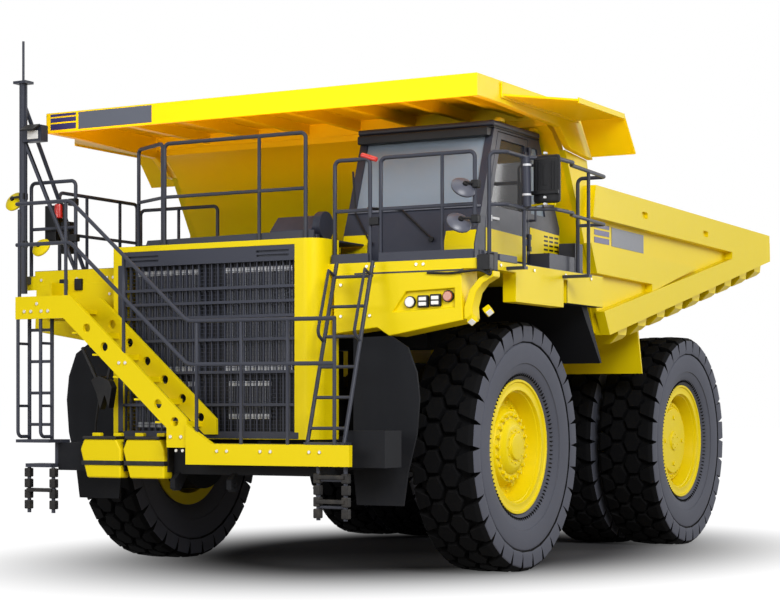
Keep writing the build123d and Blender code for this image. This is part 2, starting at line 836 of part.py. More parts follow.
def lamp_housing(y_in):
    """A box under the deck's front, with a shallow bay sunk in its face for the lamps."""
    outline = [
        (y_in, 3149),
        (y_in, 2523),
        (1720, 2578),
        (1860, 2490),
        (2690, 2630),
        (2670, 3149),
    ]
    shell = front_plate(outline, 1500, deck_front_x + 10)
    bay = front_plate([(1900, 2730), (2600, 2760), (2600, 2950), (2050, 2930)], bay_x, 2000)
    return shell - bay


bay_x = deck_front_x - 30
left_housing = lamp_housing(hood_half_width + 60)
right_housing = mirrored(lamp_housing(1450))
nodes["lamp_housings"] = Compound(children=list(left_housing.solids()) + list(right_housing.solids()))
lamp_solids = []
# round lamps: y, z, radius; square lamps: y, z, half width
for y, z, radius in ((2090, 2826, 52), (2520, 2872, 52)):
    lamp_solids.append(rod((bay_x + 1, y, z), (deck_front_x - 4, y, z), radius))
for y, z, half in ((2240, 2828, 56), (2380, 2836, 56)):
    lamp_solids.append(box(bay_x + 1, deck_front_x - 4, y - half, y + half, z - half, z + half))
nodes["lamps"] = Compound(
    children=[s for lamp in lamp_solids for s in list(lamp.solids()) + list(mirrored(lamp).solids())]
)

guard_front = front_plate(
    [
        (1500, 780),
        (1460, 1120),
        (1460, 2480),
        (1900, 2488),
        (2090, 2370),
        (2190, 2120),
        (2220, 1860),
        (2190, 1500),
        (2090, 1120),
        (2040, 780),
    ],
    1871,
    1896,
)
guard_front = guard_front + box(1890, 2100, 1500, 1600, 1200, 1350)
guard_rear = side_plate([(-940, 2990), (-970, 2990), (-1590, 2290), (-1560, 2280)], 1150, 2690)
guard_flange = side_plate([(-940, 2990), (-1120, 2990), (-1600, 2290), (-1560, 2280)], 2690, 2710)
guard_top = box(-1180, -930, 1150, 2710, 2985, 3149)
nodes["mudguards"] = both(guard_front) + both(guard_rear + guard_flange + guard_top)

# =====================================================================
# Walkway beam, stair, ladders, rails
# =====================================================================
front_face = front_overhang
beam = front_plate(
    [(-50, 1190), (-50, 1600), (270, 1400), (1880, 1400), (1880, 1190)], front_face - 60, front_face
)
walk_floor = box(2401, front_face - 50, -50, 1690, 1360, 1400)
walk_arms = box(2400, 2660, 100, 220, 1200, 1365) + box(2400, 2660, 1300, 1420, 1200, 1365)
outer_string = front_plate(
    [
        (-2290, 2960),
        (-1560, 2960),
        (-51, 1650),
        (-51, 1430),
        (-300, 1430),
        (-300, 1560),
        (-1640, 2720),
        (-2290, 2720),
    ],
    front_face - 60,
    front_face - 20,
)
inner_string = front_plate(
    [
        (-2290, 2960),
        (-1560, 2960),
        (-51, 1650),
        (-51, 1490),
        (-200, 1490),
        (-1640, 2720),
        (-2290, 2720),
    ],
    2110,
    2150,
)
# round holes down the middle of each stringer: their y, from the top
outer_holes = (-1330, -1100, -410, -200)
inner_holes = (-1400, -1170, -940, -710, -480, -250)
stair_slope = (2960 - 1650) / (1560 - 51)
string_middle = 155.0
for y in outer_holes:
    z = 2960 - (y + 1560) * stair_slope - string_middle
    outer_string = outer_string - rod((front_face - 80, y, z), (front_face, y, z), 48)
for y in inner_holes:
    z = 2960 - (y + 1560) * stair_slope - string_middle
    inner_string = inner_string - rod((2090, y, z), (2170, y, z), 48)
stair = outer_string + inner_string
stair = stair + box(2110, front_face - 20, -2290, -1600, 2780, 2820)
stair_steps = 5
for i in range(stair_steps):
    y = -1420 + i * 270
    z = 2560 - i * 235
    stair = stair + box(2111, front_face - 30, y - 110, y + 110, z - 10, z + 10)
    stair = stair + box(2111, front_face - 30, y + 95, y + 110, z - 50, z)
stair_foot = box(2401, front_face - 20, -300, -40, 1360, 1440)
hang = box(1871, 2130, -2280, -2240, 2800, 3148)
nodes["stair"] = beam + walk_floor + walk_arms + stair + stair_foot + hang


post_radius = tube_radius - 2


def ladder(x_low, x_high, y0, y1, z_low, z_high, rungs):
    """Two side tubes and round rungs; it leans from x_low at its foot to x_high at its head."""
    parts = []
    for y in (y0, y1):
        parts.append(rod((x_low, y, z_low), (x_high, y, z_high), tube_radius))
    for i in range(rungs):
        t = (i + 0.5) / rungs
        x = x_low + (x_high - x_low) * t
        z = z_low + (z_high - z_low) * t
        parts.append(cross_pin(x, z, y0, y1, tube_radius * 0.8))
    return join(parts)


left_ladder = ladder(2560, 1990, 1320, 1740, 1410, deck_top_z - 10, 6)
left_ladder_foot = box(2450, 2600, 1300, 1760, 1401, 1425)
hanging_left = ladder(2630, 2630, 1490, 1800, 660, 1189, 2)
right_ladder = ladder(2470, 2470, -2270, -1960, 1420, 2779, 4)
# hand tubes stand in front of the ladder, tied to it by short bars
hand_x = front_face - 40
for y in (-2270, -1960):
    hand_tube = bent_tube([(hand_x, y, 2719), (hand_x, y, 1460), (2470, y, 1460)], post_radius, 60)
    right_ladder = right_ladder + hand_tube
    for z in (1790, 2460):
        right_ladder = right_ladder + rod((2470, y, z), (hand_x, y, z), post_radius - 4)
right_ladder_foot = box(2300, 2660, -2300, -1850, 1396, 1430)
hanging_right = ladder(2520, 2520, -2230, -1900, 640, 1129, 1)
hanging_arm = box(2300, 2560, -2250, -1905, 1130, 1170) + box(2200, 2420, -1960, -1901, 1140, 1395)
ladder_solids = []
for piece in (left_ladder + left_ladder_foot, hanging_left, right_ladder + right_ladder_foot, hanging_right):
    ladder_solids += list(piece.solids())
nodes["ladders"] = Compound(children=ladder_solids + list(hanging_arm.solids()))

# rails on the deck: each panel stands in one upright plane, a tube bent down into its end posts
rail_bend = 60.0
rail_top_z = 4300.0
rail_middle_z = 3780.0


def rail_panel(start, end, top_z, middle_z, shares):
    """start and end are (x, y, foot z); shares place the posts between them, 0 to 1."""
    (x0, y0, z0), (x1, y1, z1) = start, end
    route = [(x0, y0, z0), (x0, y0, top_z), (x1, y1, top_z), (x1, y1, z1)]
    panel = bent_tube(route, bend=rail_bend) + rod((x0, y0, middle_z), (x1, y1, middle_z), post_radius)
    for share in shares:
        x = x0 + (x1 - x0) * share
        y = y0 + (y1 - y0) * share
        panel = panel + rod((x, y, z0), (x, y, top_z), post_radius)
    return panel


front_rail_x = deck_front_x - 60
side_rail_y = 2800.0
# start, end, top z, middle z, shares
rail_panels = (
    ((front_rail_x, 1185, deck_top_z), (front_rail_x, 1600, deck_top_z), rail_top_z, rail_middle_z, ()),
    ((front_rail_x, 1726, deck_top_z), (front_rail_x, 2790, 3560), rail_top_z, rail_middle_z, (0.66,)),
    ((1700, -1030, hood_top_z), (1700, 770, hood_top_z), 4640, 4060, (0.68,)),
    ((1680, -1070, hood_top_z), (1400, -1600, deck_top_z), 4650, 4060, ()),
    ((1300, -side_rail_y, deck_top_z), (-180, -side_rail_y, deck_top_z), 4250, rail_middle_z, (0.34, 0.77)),
    ((-230, -side_rail_y + 20, deck_top_z), (-230, -1650, deck_top_z), 4180, 3740, (0.5,)),
    ((front_rail_x, -side_rail_y, deck_top_z), (front_rail_x, -2170, deck_top_z), rail_top_z, rail_middle_z, ()),
)
rails = [rail_panel(*row) for row in rail_panels]

# the left side's rail swings out round the door and back; its feet are the first and the last point
left_route = (
    (1680, 2890),
    (1600, 3040),
    (1090, 3030),
    (940, 3270),
    (520, 3279),
    (330, 3180),
    (-780, 3095),
    (-780, 2770),
)
top_route = [(*left_route[0], 3110)]
top_route += [(x, y, rail_top_z) for x, y in left_route]
top_route += [(*left_route[-1], deck_top_z)]
left_rail = bent_tube(top_route, bend=rail_bend)
left_rail = left_rail + bent_tube([(x, y, rail_middle_z) for x, y in left_route], post_radius, rail_bend)
for x, y in ((1170, 3031), (-220, 3138)):
    left_rail = left_rail + rod((x, y, 3170), (x, y, rail_top_z), post_radius)
# feet outside the deck's edge: x from, x to, y to, z
for x0, x1, y, z in ((1560, 1710, 2920, 3110), (1130, 1210, 3055, 3165), (-260, -180, 3162, 3165)):
    left_rail = left_rail + box(x0, x1, deck_half_width + piece_gap, y, z, z + 30)
rails.append(left_rail)

# the stair's and the walkway's rail
walk_rail_x = front_face - 40
stair_rail = rod((walk_rail_x, -2250, 2900), (walk_rail_x, -2250, 3900), post_radius)
for offset in (1000, 560):
    stair_rail = stair_rail + bent_tube(
        [
            (walk_rail_x, -2290, 2960 + offset),
            (walk_rail_x, -1560, 2960 + offset),
            (walk_rail_x, -51, 1650 + offset),
            (walk_rail_x, 1700, 1640 + offset),
        ],
        bend=150,
    )
for y, z in ((-1620, 2960), (-860, 2352)):
    stair_rail = stair_rail + rod((walk_rail_x, y, z - 60), (walk_rail_x, y, z + 1000), post_radius)
for y in (60, 600, 1150, 1690):
    stair_rail = stair_rail + rod((walk_rail_x, y, 1380), (walk_rail_x, y, 2630), post_radius)
rails.append(stair_rail)
rail_solids = []
for rail_piece in rails:
    rail_solids += list((rail_piece - nodes["stair"] - nodes["hood"]).solids())
nodes["handrails"] = Compound(children=rail_solids)

mast_x = deck_front_x + 90
mast_y = -2790.0
brace_radius = 24.0
mast = rod((mast_x, mast_y, 3050), (mast_x, mast_y, 5430), 45)
mast = mast + rod((mast_x, mast_y, 5420), (mast_x, mast_y, 5880), 14)
mast = mast + box(deck_front_x, mast_x, mast_y - 40, mast_y + 40, 3160, 3240)
mast = mast + box(mast_x - 70, mast_x + 70, mast_y - 90, mast_y + 90, 5400, 5430)
# a work lamp on its arm, and two braces down to the deck
mast = mast + box(mast_x - 60, mast_x + 60, mast_y + 40, mast_y + 300, 4740, 4920)
mast = mast + rod((mast_x, mast_y, 5200), (780, mast_y, deck_top_z), brace_radius)
mast = mast + rod((mast_x, mast_y, 4800), (mast_x - 120, -2130, deck_top_z), brace_radius)
nodes["mast"] = mast - nodes["handrails"] - nodes["deck"]

mirror_top_z = rail_top_z - tube_radius - 8
mirrors = [box(985, 1065, 3080, 3370, 3870, mirror_top_z)]
# round mirrors on short arms: x, y, z of the disc, x and y of the tube that carries its arm
round_mirrors = (
    (1870, 2640, 3920, front_rail_x, 2790),
    (1870, 2560, 3590, front_rail_x, 2790),
    (1870, -2970, 4080, mast_x, mast_y),
    (1870, -2600, 3570, mast_x, mast_y),
)
disc_radius = 150.0
for x, y, z, post_x, post_y in round_mirrors:
    disc = rod((x, y, z), (x + 30, y, z), disc_radius) + rod((x + 30, y, z), (x + 55, y, z), disc_radius * 0.6)
    arm = rod((x + 10, y, z), (post_x, post_y, z), post_radius - 8)
    mirrors.append(disc + arm - nodes["handrails"] - nodes["mast"])
nodes["mirrors"] = Compound(children=[s for piece in mirrors for s in piece.solids()])

chock = front_plate(
    [(-1510, 1330), (-1460, 1440), (-1040, 1440), (-980, 1330), (-980, 1030), (-1420, 1030)], 2402, 2560
)
chock_pair = Compound(children=list(chock.solids()) + list((Pos(0, 560, 0) * chock).solids()))
nodes["wheel_chocks"] = chock_pair

nodes["tanks"] = Compound(children=list(fuel_tank.solids()) + list(oil_tank.solids()))

# =====================================================================
# Cab
# =====================================================================
cab_floor_z = deck_top_z + 1
cab_side = [
    (cab_rear_x, cab_floor_z),
    (cab_nose_x, cab_floor_z),
    (cab_nose_x, 3450),
    (cab_sill_x, cab_waist_z),
    (cab_brow_x, cab_roof_z),
    (cab_rear_top_x, cab_roof_z),
    (cab_rear_x, cab_rear_waist_z),
]
cab_inside = [
    (cab_rear_x + cab_wall, cab_floor_z + cab_wall),
    (cab_nose_x - cab_wall, cab_floor_z + cab_wall),
    (cab_nose_x - cab_wall, 3440),
    (cab_sill_x - cab_wall, cab_waist_z - 10),
    (cab_brow_x - cab_wall, cab_roof_z + 10),
    (cab_rear_top_x + cab_wall, cab_roof_z + 10),
    (cab_rear_x + cab_wall, cab_rear_waist_z),
]
cab = side_plate(cab_side, cab_right_y, cab_left_y)
cab = cab - side_plate(cab_inside, cab_right_y + cab_wall, cab_left_y - cab_wall)
windscreen = box(cab_brow_x - 260, cab_nose_x + 20, cab_right_y + 90, cab_left_y - 90, cab_waist_z + 30, cab_roof_z - 60)
cab = cab - windscreen
cab = cab - box(cab_rear_x - 10, cab_rear_top_x + 10, cab_right_y + 120, cab_left_y - 120, 3860, cab_roof_z - 80)
cab = cab - box(-420, 540, cab_right_y - 10, cab_right_y + 60, cab_waist_z, cab_roof_z - 80)
door_bottom_z = cab_floor_z + 60
door_top_z = cab_roof_z - 50


def door_outline(gap):
    """The door's outline in (x, z), grown by the gap; its front edge follows the windscreen."""
    return [
        (door_rear_x - gap, door_bottom_z - gap),
        (door_low_x + gap, door_bottom_z - gap),
        (door_low_x + gap, 3640),
        (door_waist_x + gap, cab_waist_z),
        (door_front_x + gap, door_top_z + gap),
        (door_rear_x - gap, door_top_z + gap),
    ]


cab = cab - side_plate(door_outline(door_gap), cab_left_y - 60, cab_left_y + 10)
quarter = [(-620, cab_waist_z + 20), (door_rear_x - 100, cab_waist_z + 20), (door_rear_x - 100, 4600), (-400, 4600)]
cab = cab - side_plate(quarter, cab_left_y - 60, cab_left_y + 10)
# door hinges: the door's knuckle turns on a pin between two knuckles of the shell
hinge_x = door_rear_x - door_gap / 2
hinge_y = cab_left_y + 22
hinge_radius = 18.0
hinge_pin_radius = 8.5
hinge_bore_radius = 9.0
knuckle_height = 70.0
hinge_gap = 2.0
leaf_thickness = 12.0
hinge_heights = (3560.0, 4500.0)


def hinge_leaf(z0, z1, way):
    """A plate on the cab's side from the hinge's axis, forwards (1) or backwards (-1)."""
    edge = hinge_x + way * door_gap / 2
    plate = box(edge, edge + way * 80, cab_left_y, cab_left_y + leaf_thickness, z0, z1)
    return plate + box(edge, edge + way * 12, cab_left_y, hinge_y, z0, z1)


door_hinges = []
for z in hinge_heights:
    half = knuckle_height / 2
    cab = cab + rod((hinge_x, hinge_y, z - 2 * half), (hinge_x, hinge_y, z + 2 * half), hinge_pin_radius)
    for z0, z1 in ((z - 2 * half - 20, z - half - hinge_gap), (z + half + hinge_gap, z + 2 * half + 20)):
        cab = cab + rod((hinge_x, hinge_y, z0), (hinge_x, hinge_y, z1), hinge_radius)
        cab = cab + hinge_leaf(z0, z1, -1)
    barrel_solid = rod((hinge_x, hinge_y, z - half), (hinge_x, hinge_y, z + half), hinge_radius)
    barrel_solid = barrel_solid + hinge_leaf(z - half, z + half, 1)
    bore = rod((hinge_x, hinge_y, z - half - 5), (hinge_x, hinge_y, z + half + 5), hinge_bore_radius)
    door_hinges.append(barrel_solid - bore)
nodes["cab_shell"] = cab
nodes["cab_roof"] = box(
    cab_rear_top_x, cab_brow_x + 60, cab_right_y - 20, cab_left_y + 20, cab_roof_z + 1, cab_roof_z + roof_thickness
)

pane_y = (cab_left_y - cab_wall / 2 - glass_thickness / 2, cab_left_y - cab_wall / 2 + glass_thickness / 2)
door_window = [
    (door_rear_x + 70, cab_waist_z + 20),
    (door_waist_x - 80, cab_waist_z + 20),
    (door_front_x - 70, door_top_z - 70),
    (door_rear_x + 70, door_top_z - 70),
]
door = side_plate(door_outline(0), cab_left_y - cab_wall, cab_left_y)
door = door - side_plate(door_window, cab_left_y - 90, cab_left_y + 5)
for hinge in door_hinges:
    door = door + hinge
nodes["cab_door"] = door
nodes["door_glass"] = side_plate(door_window, *pane_y)


def front_line_x(z):
    """The windscreen's outer face at height z."""
    share = (z - cab_waist_z) / (cab_roof_z - cab_waist_z)
    return cab_sill_x + (cab_brow_x - cab_sill_x) * share


screen_low = cab_waist_z + 30
screen_high = cab_roof_z - 60
screen = side_plate(
    [
        (front_line_x(screen_low) - 20, screen_low),
        (front_line_x(screen_low) - 20 - glass_thickness, screen_low),
        (front_line_x(screen_high) - 20 - glass_thickness, screen_high),
        (front_line_x(screen_high) - 20, screen_high),
    ],
    cab_right_y + 90,
    cab_left_y - 90,
)
right_pane = box(-420, 540, cab_right_y + 21, cab_right_y + 21 + glass_thickness, cab_waist_z, cab_roof_z - 80)
quarter_pane = side_plate(quarter, *pane_y)
panes = [screen, right_pane, quarter_pane]
nodes["cab_glass"] = Compound(children=[s for pane in panes for s in pane.solids()])

seat = box(-350, 150, 1400, 1900, cab_floor_z + cab_wall, 3800) + box(-380, -260, 1400, 1900, 3790, 4450)
console = box(450, 780, 1000, 2300, cab_floor_z + cab_wall, 3800)
column = rod((600, 1650, 3700), (430, 1650, 3990), 32)
wheel_ring = Pos(axle_x + 430, 1650, 3990) * (Rot(0, -30, 0) * Torus(210, 16))
spokes = Pos(axle_x + 430, 1650, 3990) * (Rot(0, -30, 0) * (Box(400, 40, 16) + Box(40, 400, 16)))
console = console + column + spokes + wheel_ring
nodes["cab_interior"] = Compound(children=list(seat.solids()) + list(console.solids()))

# =====================================================================
os.makedirs("parts", exist_ok=True)
for name, shape in nodes.items():
    export_step(shape, "parts/" + name + ".step")
    print(name, len(shape.solids()), round(sum(s.volume for s in shape.solids()) / 1e9, 4), "m3")
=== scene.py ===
"""Looks of a rigid-frame mining dump truck, dressed round its fixed frame. Metres; +X front, +Y cab side."""
import json
import math
import bpy
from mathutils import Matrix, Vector


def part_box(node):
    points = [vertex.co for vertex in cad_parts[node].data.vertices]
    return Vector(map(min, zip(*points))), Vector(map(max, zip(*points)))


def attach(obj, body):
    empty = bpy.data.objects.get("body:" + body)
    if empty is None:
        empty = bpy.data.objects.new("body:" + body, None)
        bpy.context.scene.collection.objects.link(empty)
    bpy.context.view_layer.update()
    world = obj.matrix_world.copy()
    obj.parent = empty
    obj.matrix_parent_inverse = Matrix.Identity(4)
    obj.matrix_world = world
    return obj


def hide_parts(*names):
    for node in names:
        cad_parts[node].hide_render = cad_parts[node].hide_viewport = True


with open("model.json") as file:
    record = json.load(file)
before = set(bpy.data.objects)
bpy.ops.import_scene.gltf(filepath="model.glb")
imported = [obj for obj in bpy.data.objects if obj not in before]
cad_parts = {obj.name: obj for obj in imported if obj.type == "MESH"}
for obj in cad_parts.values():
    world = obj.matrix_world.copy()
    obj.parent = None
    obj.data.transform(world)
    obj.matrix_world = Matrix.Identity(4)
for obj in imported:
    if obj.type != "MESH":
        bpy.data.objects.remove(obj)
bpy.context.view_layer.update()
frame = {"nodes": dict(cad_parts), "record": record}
nodes = frame["nodes"]


# =====================================================================
# Places read from the frame
# =====================================================================
def low(node):
    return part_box(node)[0]


def high(node):
    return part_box(node)[1]


def middle(node):
    return (low(node) + high(node)) / 2


# =====================================================================
# Camera, light and floor
# =====================================================================
def make_camera():
    """A long lens at standing height, off the truck's left front corner, looking level."""
    data = bpy.data.cameras.new("camera")
    data.sensor_width = 36.0
    data.lens = 88.52
    data.shift_y = 0.1442
    data.clip_end = 200.0
    camera = bpy.data.objects.new("camera", data)
    camera.location = (21.186, 11.267, 1.719)
    camera.rotation_euler = (math.radians(90), 0, math.radians(90 + 29.114))
    bpy.context.scene.collection.objects.link(camera)
    bpy.context.scene.camera = camera


def softbox(name, place, aim, width, height, power, tint=(1, 1, 1)):
    data = bpy.data.lights.new(name, "AREA")
    data.shape = "RECTANGLE"
    data.size, data.size_y = width, height
    data.energy = power
    data.color = tint
    lamp = bpy.data.objects.new(name, data)
    lamp.location = place
    lamp.rotation_euler = (Vector(aim) - Vector(place)).to_track_quat("-Z", "Y").to_euler()
    bpy.context.scene.collection.objects.link(lamp)


def make_lights():
    softbox("key", (15, 14, 11), (0, 0, 2), 9, 7, 3050)
    softbox("front_fill", (18, -3, 5), (3, 0, 2), 8, 6, 640)
    softbox("rear_fill", (-13, 14, 7), (-3, 0, 3), 8, 6, 980)
    softbox("top", (0, 0, 16), (0, 0, 0), 14, 10, 450)
    softbox("bounce", (7.5, 1.0, 0.4), (1.5, 0, 4.6), 7, 5, 1250, (1.0, 0.42, 0.15))


def light_body_only(name):
    """One lamp stands for the light thrown up under the canopy; only the dump body's front takes it."""
    held = bpy.data.collections.new(name + "_held")
    for node in ("body_canopy", "body_front_wall", "body_wings"):
        held.objects.link(bpy.data.objects[node + "_finished"])
    bpy.data.objects[name].light_linking.receiver_collection = held


def fill(node, values):
    """Gives a shader node's sockets their values, by name."""
    for socket, value in values.items():
        node.inputs[socket].default_value = value


def shown_rays(tree):
    """One for rays that come from the camera, off metal or through glass, nought for all other light."""
    new, link = tree.nodes.new, tree.links.new
    path = new("ShaderNodeLightPath")
    mirrored = new("ShaderNodeMath")
    mirrored.operation = "MAXIMUM"
    link(path.outputs["Is Glossy Ray"], mirrored.inputs[0])
    link(path.outputs["Is Transmission Ray"], mirrored.inputs[1])
    shown = new("ShaderNodeMath")
    shown.operation = "MAXIMUM"
    link(path.outputs["Is Camera Ray"], shown.inputs[0])
    link(mirrored.outputs[0], shown.inputs[1])
    return shown.outputs[0]


def make_world():
    world = bpy.data.worlds.new("studio")
    bpy.context.scene.world = world
    world.use_nodes = True
    tree = world.node_tree
    tree.nodes.clear()
    new, link = tree.nodes.new, tree.links.new
    soft = new("ShaderNodeBackground")
    fill(soft, {"Color": (0.92, 0.92, 1.0, 1), "Strength": 0.26})
    white = new("ShaderNodeBackground")
    fill(white, {"Color": (1, 1, 1, 1), "Strength": 1.0})
    mix = new("ShaderNodeMixShader")
    out = new("ShaderNodeOutputWorld")
    link(shown_rays(tree), mix.inputs["Fac"])
    link(soft.outputs[0], mix.inputs[1])
    link(white.outputs[0], mix.inputs[2])
    link(mix.outputs[0], out.inputs["Surface"])


def make_floor():
    """A pale floor that glows to white away from the truck; near it the glow fades out over a dark colour, a
    painted shadow that deepens the real one.
    """
    bpy.ops.object.select_all(action="DESELECT")
    bpy.ops.mesh.primitive_plane_add(size=400, location=(0, 0, 0))
    floor = bpy.context.active_object
    floor.name = "floor"
    material = bpy.data.materials.new("floor")
    material.use_nodes = True
    tree = material.node_tree
    tree.nodes.clear()
    new, link = tree.nodes.new, tree.links.new
    place = new("ShaderNodeTexCoord")
    shape = new("ShaderNodeMapping")
    fill(shape, {"Scale": (1 / 6.6, 1 / 4.6, 1)})
    far = new("ShaderNodeVectorMath")
    far.operation = "LENGTH"
    # The glow is nought in an ellipse round the truck and rises to white beyond it, so the floor near the
    # truck keeps a painted shadow.
    glow = new("ShaderNodeMapRange")
    glow.interpolation_type = "SMOOTHSTEP"
    fill(glow, {"From Min": 0.44, "From Max": 1.18, "To Max": 1.0})
    shown = shown_rays(tree)
    seen = new("ShaderNodeMath")
    seen.operation = "MULTIPLY"
    emission = new("ShaderNodeEmission")
    diffuse = new("ShaderNodeBsdfDiffuse")
    # Camera rays see the dark colour B, painted shade near the truck; light bouncing off the floor takes the
    # warm colour A.
    tint = new("ShaderNodeMix")
    tint.data_type = "RGBA"
    tint.inputs["A"].default_value = (0.40, 0.34, 0.26, 1)
    tint.inputs["B"].default_value = (0.095, 0.095, 0.10, 1)
    add = new("ShaderNodeAddShader")
    out = new("ShaderNodeOutputMaterial")
    link(place.outputs["Object"], shape.inputs["Vector"])
    link(shape.outputs["Vector"], far.inputs[0])
    link(far.outputs["Value"], glow.inputs["Value"])
    link(glow.outputs["Result"], seen.inputs[0])
    link(shown, seen.inputs[1])
    link(shown, tint.inputs["Factor"])
    link(tint.outputs["Result"], diffuse.inputs["Color"])
    link(seen.outputs[0], emission.inputs["Strength"])
    link(emission.outputs[0], add.inputs[0])
    link(diffuse.outputs[0], add.inputs[1])
    link(add.outputs[0], out.inputs["Surface"])
    floor.data.materials.append(material)


# =====================================================================
# Shared finishes
# =====================================================================
def group_sockets(group, inputs, outputs):
    for name, kind, value in inputs:
        socket = group.interface.new_socket(name, in_out="INPUT", socket_type=kind)
        socket.default_value = value
    for name, kind in outputs:
        group.interface.new_socket(name, in_out="OUTPUT", socket_type=kind)


def paint_group():
    """Sprayed paint outdoors: slow fading of the tone, dust on what faces up and low down, orange peel."""
    group = bpy.data.node_groups.new("Sprayed and dusted", "ShaderNodeTree")
    group_sockets(
        group,
        [
            ("Paint", "NodeSocketColor", (0.8, 0.8, 0.8, 1)),
            ("Dust", "NodeSocketColor", (0.42, 0.37, 0.30, 1)),
            ("Fade", "NodeSocketFloat", 0.08),
            ("Dustiness", "NodeSocketFloat", 0.12),
            ("Gloss", "NodeSocketFloat", 0.32),
            ("Peel", "NodeSocketFloat", 0.05),
        ],
        [("Color", "NodeSocketColor"), ("Roughness", "NodeSocketFloat"), ("Normal", "NodeSocketVector")],
    )
    new, link = group.nodes.new, group.links.new
    given, made = new("NodeGroupInput"), new("NodeGroupOutput")
    place = new("ShaderNodeTexCoord")

    def noise(scale, detail):
        node = new("ShaderNodeTexNoise")
        fill(node, {"Scale": scale, "Detail": detail})
        link(place.outputs["Object"], node.inputs["Vector"])
        return node

    def sums(operation, first, second):
        node = new("ShaderNodeMath")
        node.operation = operation
        for socket, value in zip(node.inputs, (first, second)):
            if isinstance(value, (int, float)):
                socket.default_value = value
            else:
                link(value, socket)
        return node.outputs[0]

    slow, fine, skin = noise(0.9, 3), noise(14.0, 6), noise(160.0, 2)
    swing = sums("MULTIPLY", sums("SUBTRACT", slow.outputs["Fac"], 0.5), given.outputs["Fade"])
    tone = sums("ADD", sums("MULTIPLY", swing, 2.0), 1.0)
    faded = new("ShaderNodeVectorMath")
    faded.operation = "SCALE"
    link(given.outputs["Paint"], faded.inputs[0])
    link(tone, faded.inputs["Scale"])
    surface = new("ShaderNodeNewGeometry")
    upward, height = new("ShaderNodeSeparateXYZ"), new("ShaderNodeSeparateXYZ")
    link(surface.outputs["Normal"], upward.inputs[0])
    link(place.outputs["Object"], height.inputs[0])
    facing = sums("MAXIMUM", upward.outputs["Z"], 0.0)
    splash = new("ShaderNodeMapRange")
    fill(splash, {"From Min": 2.4, "From Max": 0.1})
    link(height.outputs["Z"], splash.inputs["Value"])
    patches = sums("POWER", sums("ADD", fine.outputs["Fac"], 0.25), 3.0)
    lying = sums("MULTIPLY", sums("ADD", facing, splash.outputs["Result"]), patches)
    dust = sums("MINIMUM", sums("MULTIPLY", lying, given.outputs["Dustiness"]), 0.85)
    mix = new("ShaderNodeMix")
    mix.data_type = "RGBA"
    link(dust, mix.inputs["Factor"])
    link(faded.outputs[0], mix.inputs["A"])
    link(given.outputs["Dust"], mix.inputs["B"])
    link(mix.outputs["Result"], made.inputs["Color"])
    rough = sums("ADD", given.outputs["Gloss"], sums("MULTIPLY", dust, 0.5))
    uneven = sums("ADD", rough, sums("MULTIPLY", sums("SUBTRACT", fine.outputs["Fac"], 0.5), 0.12))
    link(sums("MINIMUM", uneven, 0.95), made.inputs["Roughness"])
    bump = new("ShaderNodeBump")
    fill(bump, {"Distance": 0.002})
    link(given.outputs["Peel"], bump.inputs["Strength"])
    link(skin.outputs["Fac"], bump.inputs["Height"])
    link(bump.outputs["Normal"], made.inputs["Normal"])
    return group


PAINT = paint_group()


def painted(name, paint, gloss=0.32, fade=0.08, dust=0.12, peel=0.05, metallic=0.0, coat=0.0, shine=0.5):
    """A material whose paint, dust and peel come from the shared group."""
    material = bpy.data.materials.new(name)
    material.use_nodes = True
    tree = material.node_tree
    shader = tree.nodes["Principled BSDF"]
    skin = tree.nodes.new("ShaderNodeGroup")
    skin.node_tree = PAINT
    fill(skin, {"Paint": (*paint, 1), "Fade": fade, "Dustiness": dust, "Gloss": gloss, "Peel": peel})
    tree.links.new(skin.outputs["Color"], shader.inputs["Base Color"])
    tree.links.new(skin.outputs["Roughness"], shader.inputs["Roughness"])
    tree.links.new(skin.outputs["Normal"], shader.inputs["Normal"])
    fill(shader, {"Metallic": metallic, "Coat Weight": coat, "Specular IOR Level": shine})
    return material


YELLOW = painted("yellow paint", (0.84, 0.66, 0.001), gloss=0.42, fade=0.04, dust=0.01, shine=0.16)
SLATE = painted("slate paint", (0.034, 0.038, 0.056), gloss=0.42, dust=0.05, shine=0.22)
TUBE = painted("tube paint", (0.032, 0.036, 0.052), gloss=0.45, dust=0.05, shine=0.25)
CHASSIS = painted("chassis black", (0.0120, 0.0130, 0.0160), gloss=0.6, dust=0.02, shine=0.08)
RUBBER = painted("tyre rubber", (0.014, 0.015, 0.018), gloss=0.8, fade=0.25, dust=0.02, peel=0.25, shine=0.1)
SIDEWALL = painted(
    "tyre sidewall", (0.080, 0.086, 0.112), gloss=0.7, fade=0.20, dust=0.02, peel=0.2, shine=0.2
)
# The tread's near-black is dark rubber deepened with painted shade; the sidewall shows the rubber's own grey.
TREAD_WITH_PAINTED_SHADE = painted("tyre tread with painted shade", (0.0030, 0.0032, 0.0040), gloss=0.8, fade=0.25, dust=0.01, peel=0.3, shine=0.08)
CORE = painted("radiator core", (0.050, 0.053, 0.062), gloss=0.5)
STEEL = painted("cylinder steel", (0.75, 0.76, 0.78), gloss=0.14, metallic=1.0, dust=0.03, peel=0.01)
TRIM = painted("cab trim", (0.02, 0.02, 0.022), gloss=0.6)


def glass_material(name, tint, clear):
    """Window glass; clear is the share that lets light through, the rest is a flat colour for haze and sky, a
    painted reflection.
    """
    material = bpy.data.materials.new(name)
    material.use_nodes = True
    shader = material.node_tree.nodes["Principled BSDF"]
    fill(shader, {"Base Color": (*tint, 1), "Roughness": 0.04, "Transmission Weight": clear, "IOR": 1.2})
    return material


GLASS = glass_material("tinted glass", (0.50, 0.56, 0.60), 0.9)
DOOR_GLASS = glass_material("door glass", (0.075, 0.078, 0.085), 0.45)
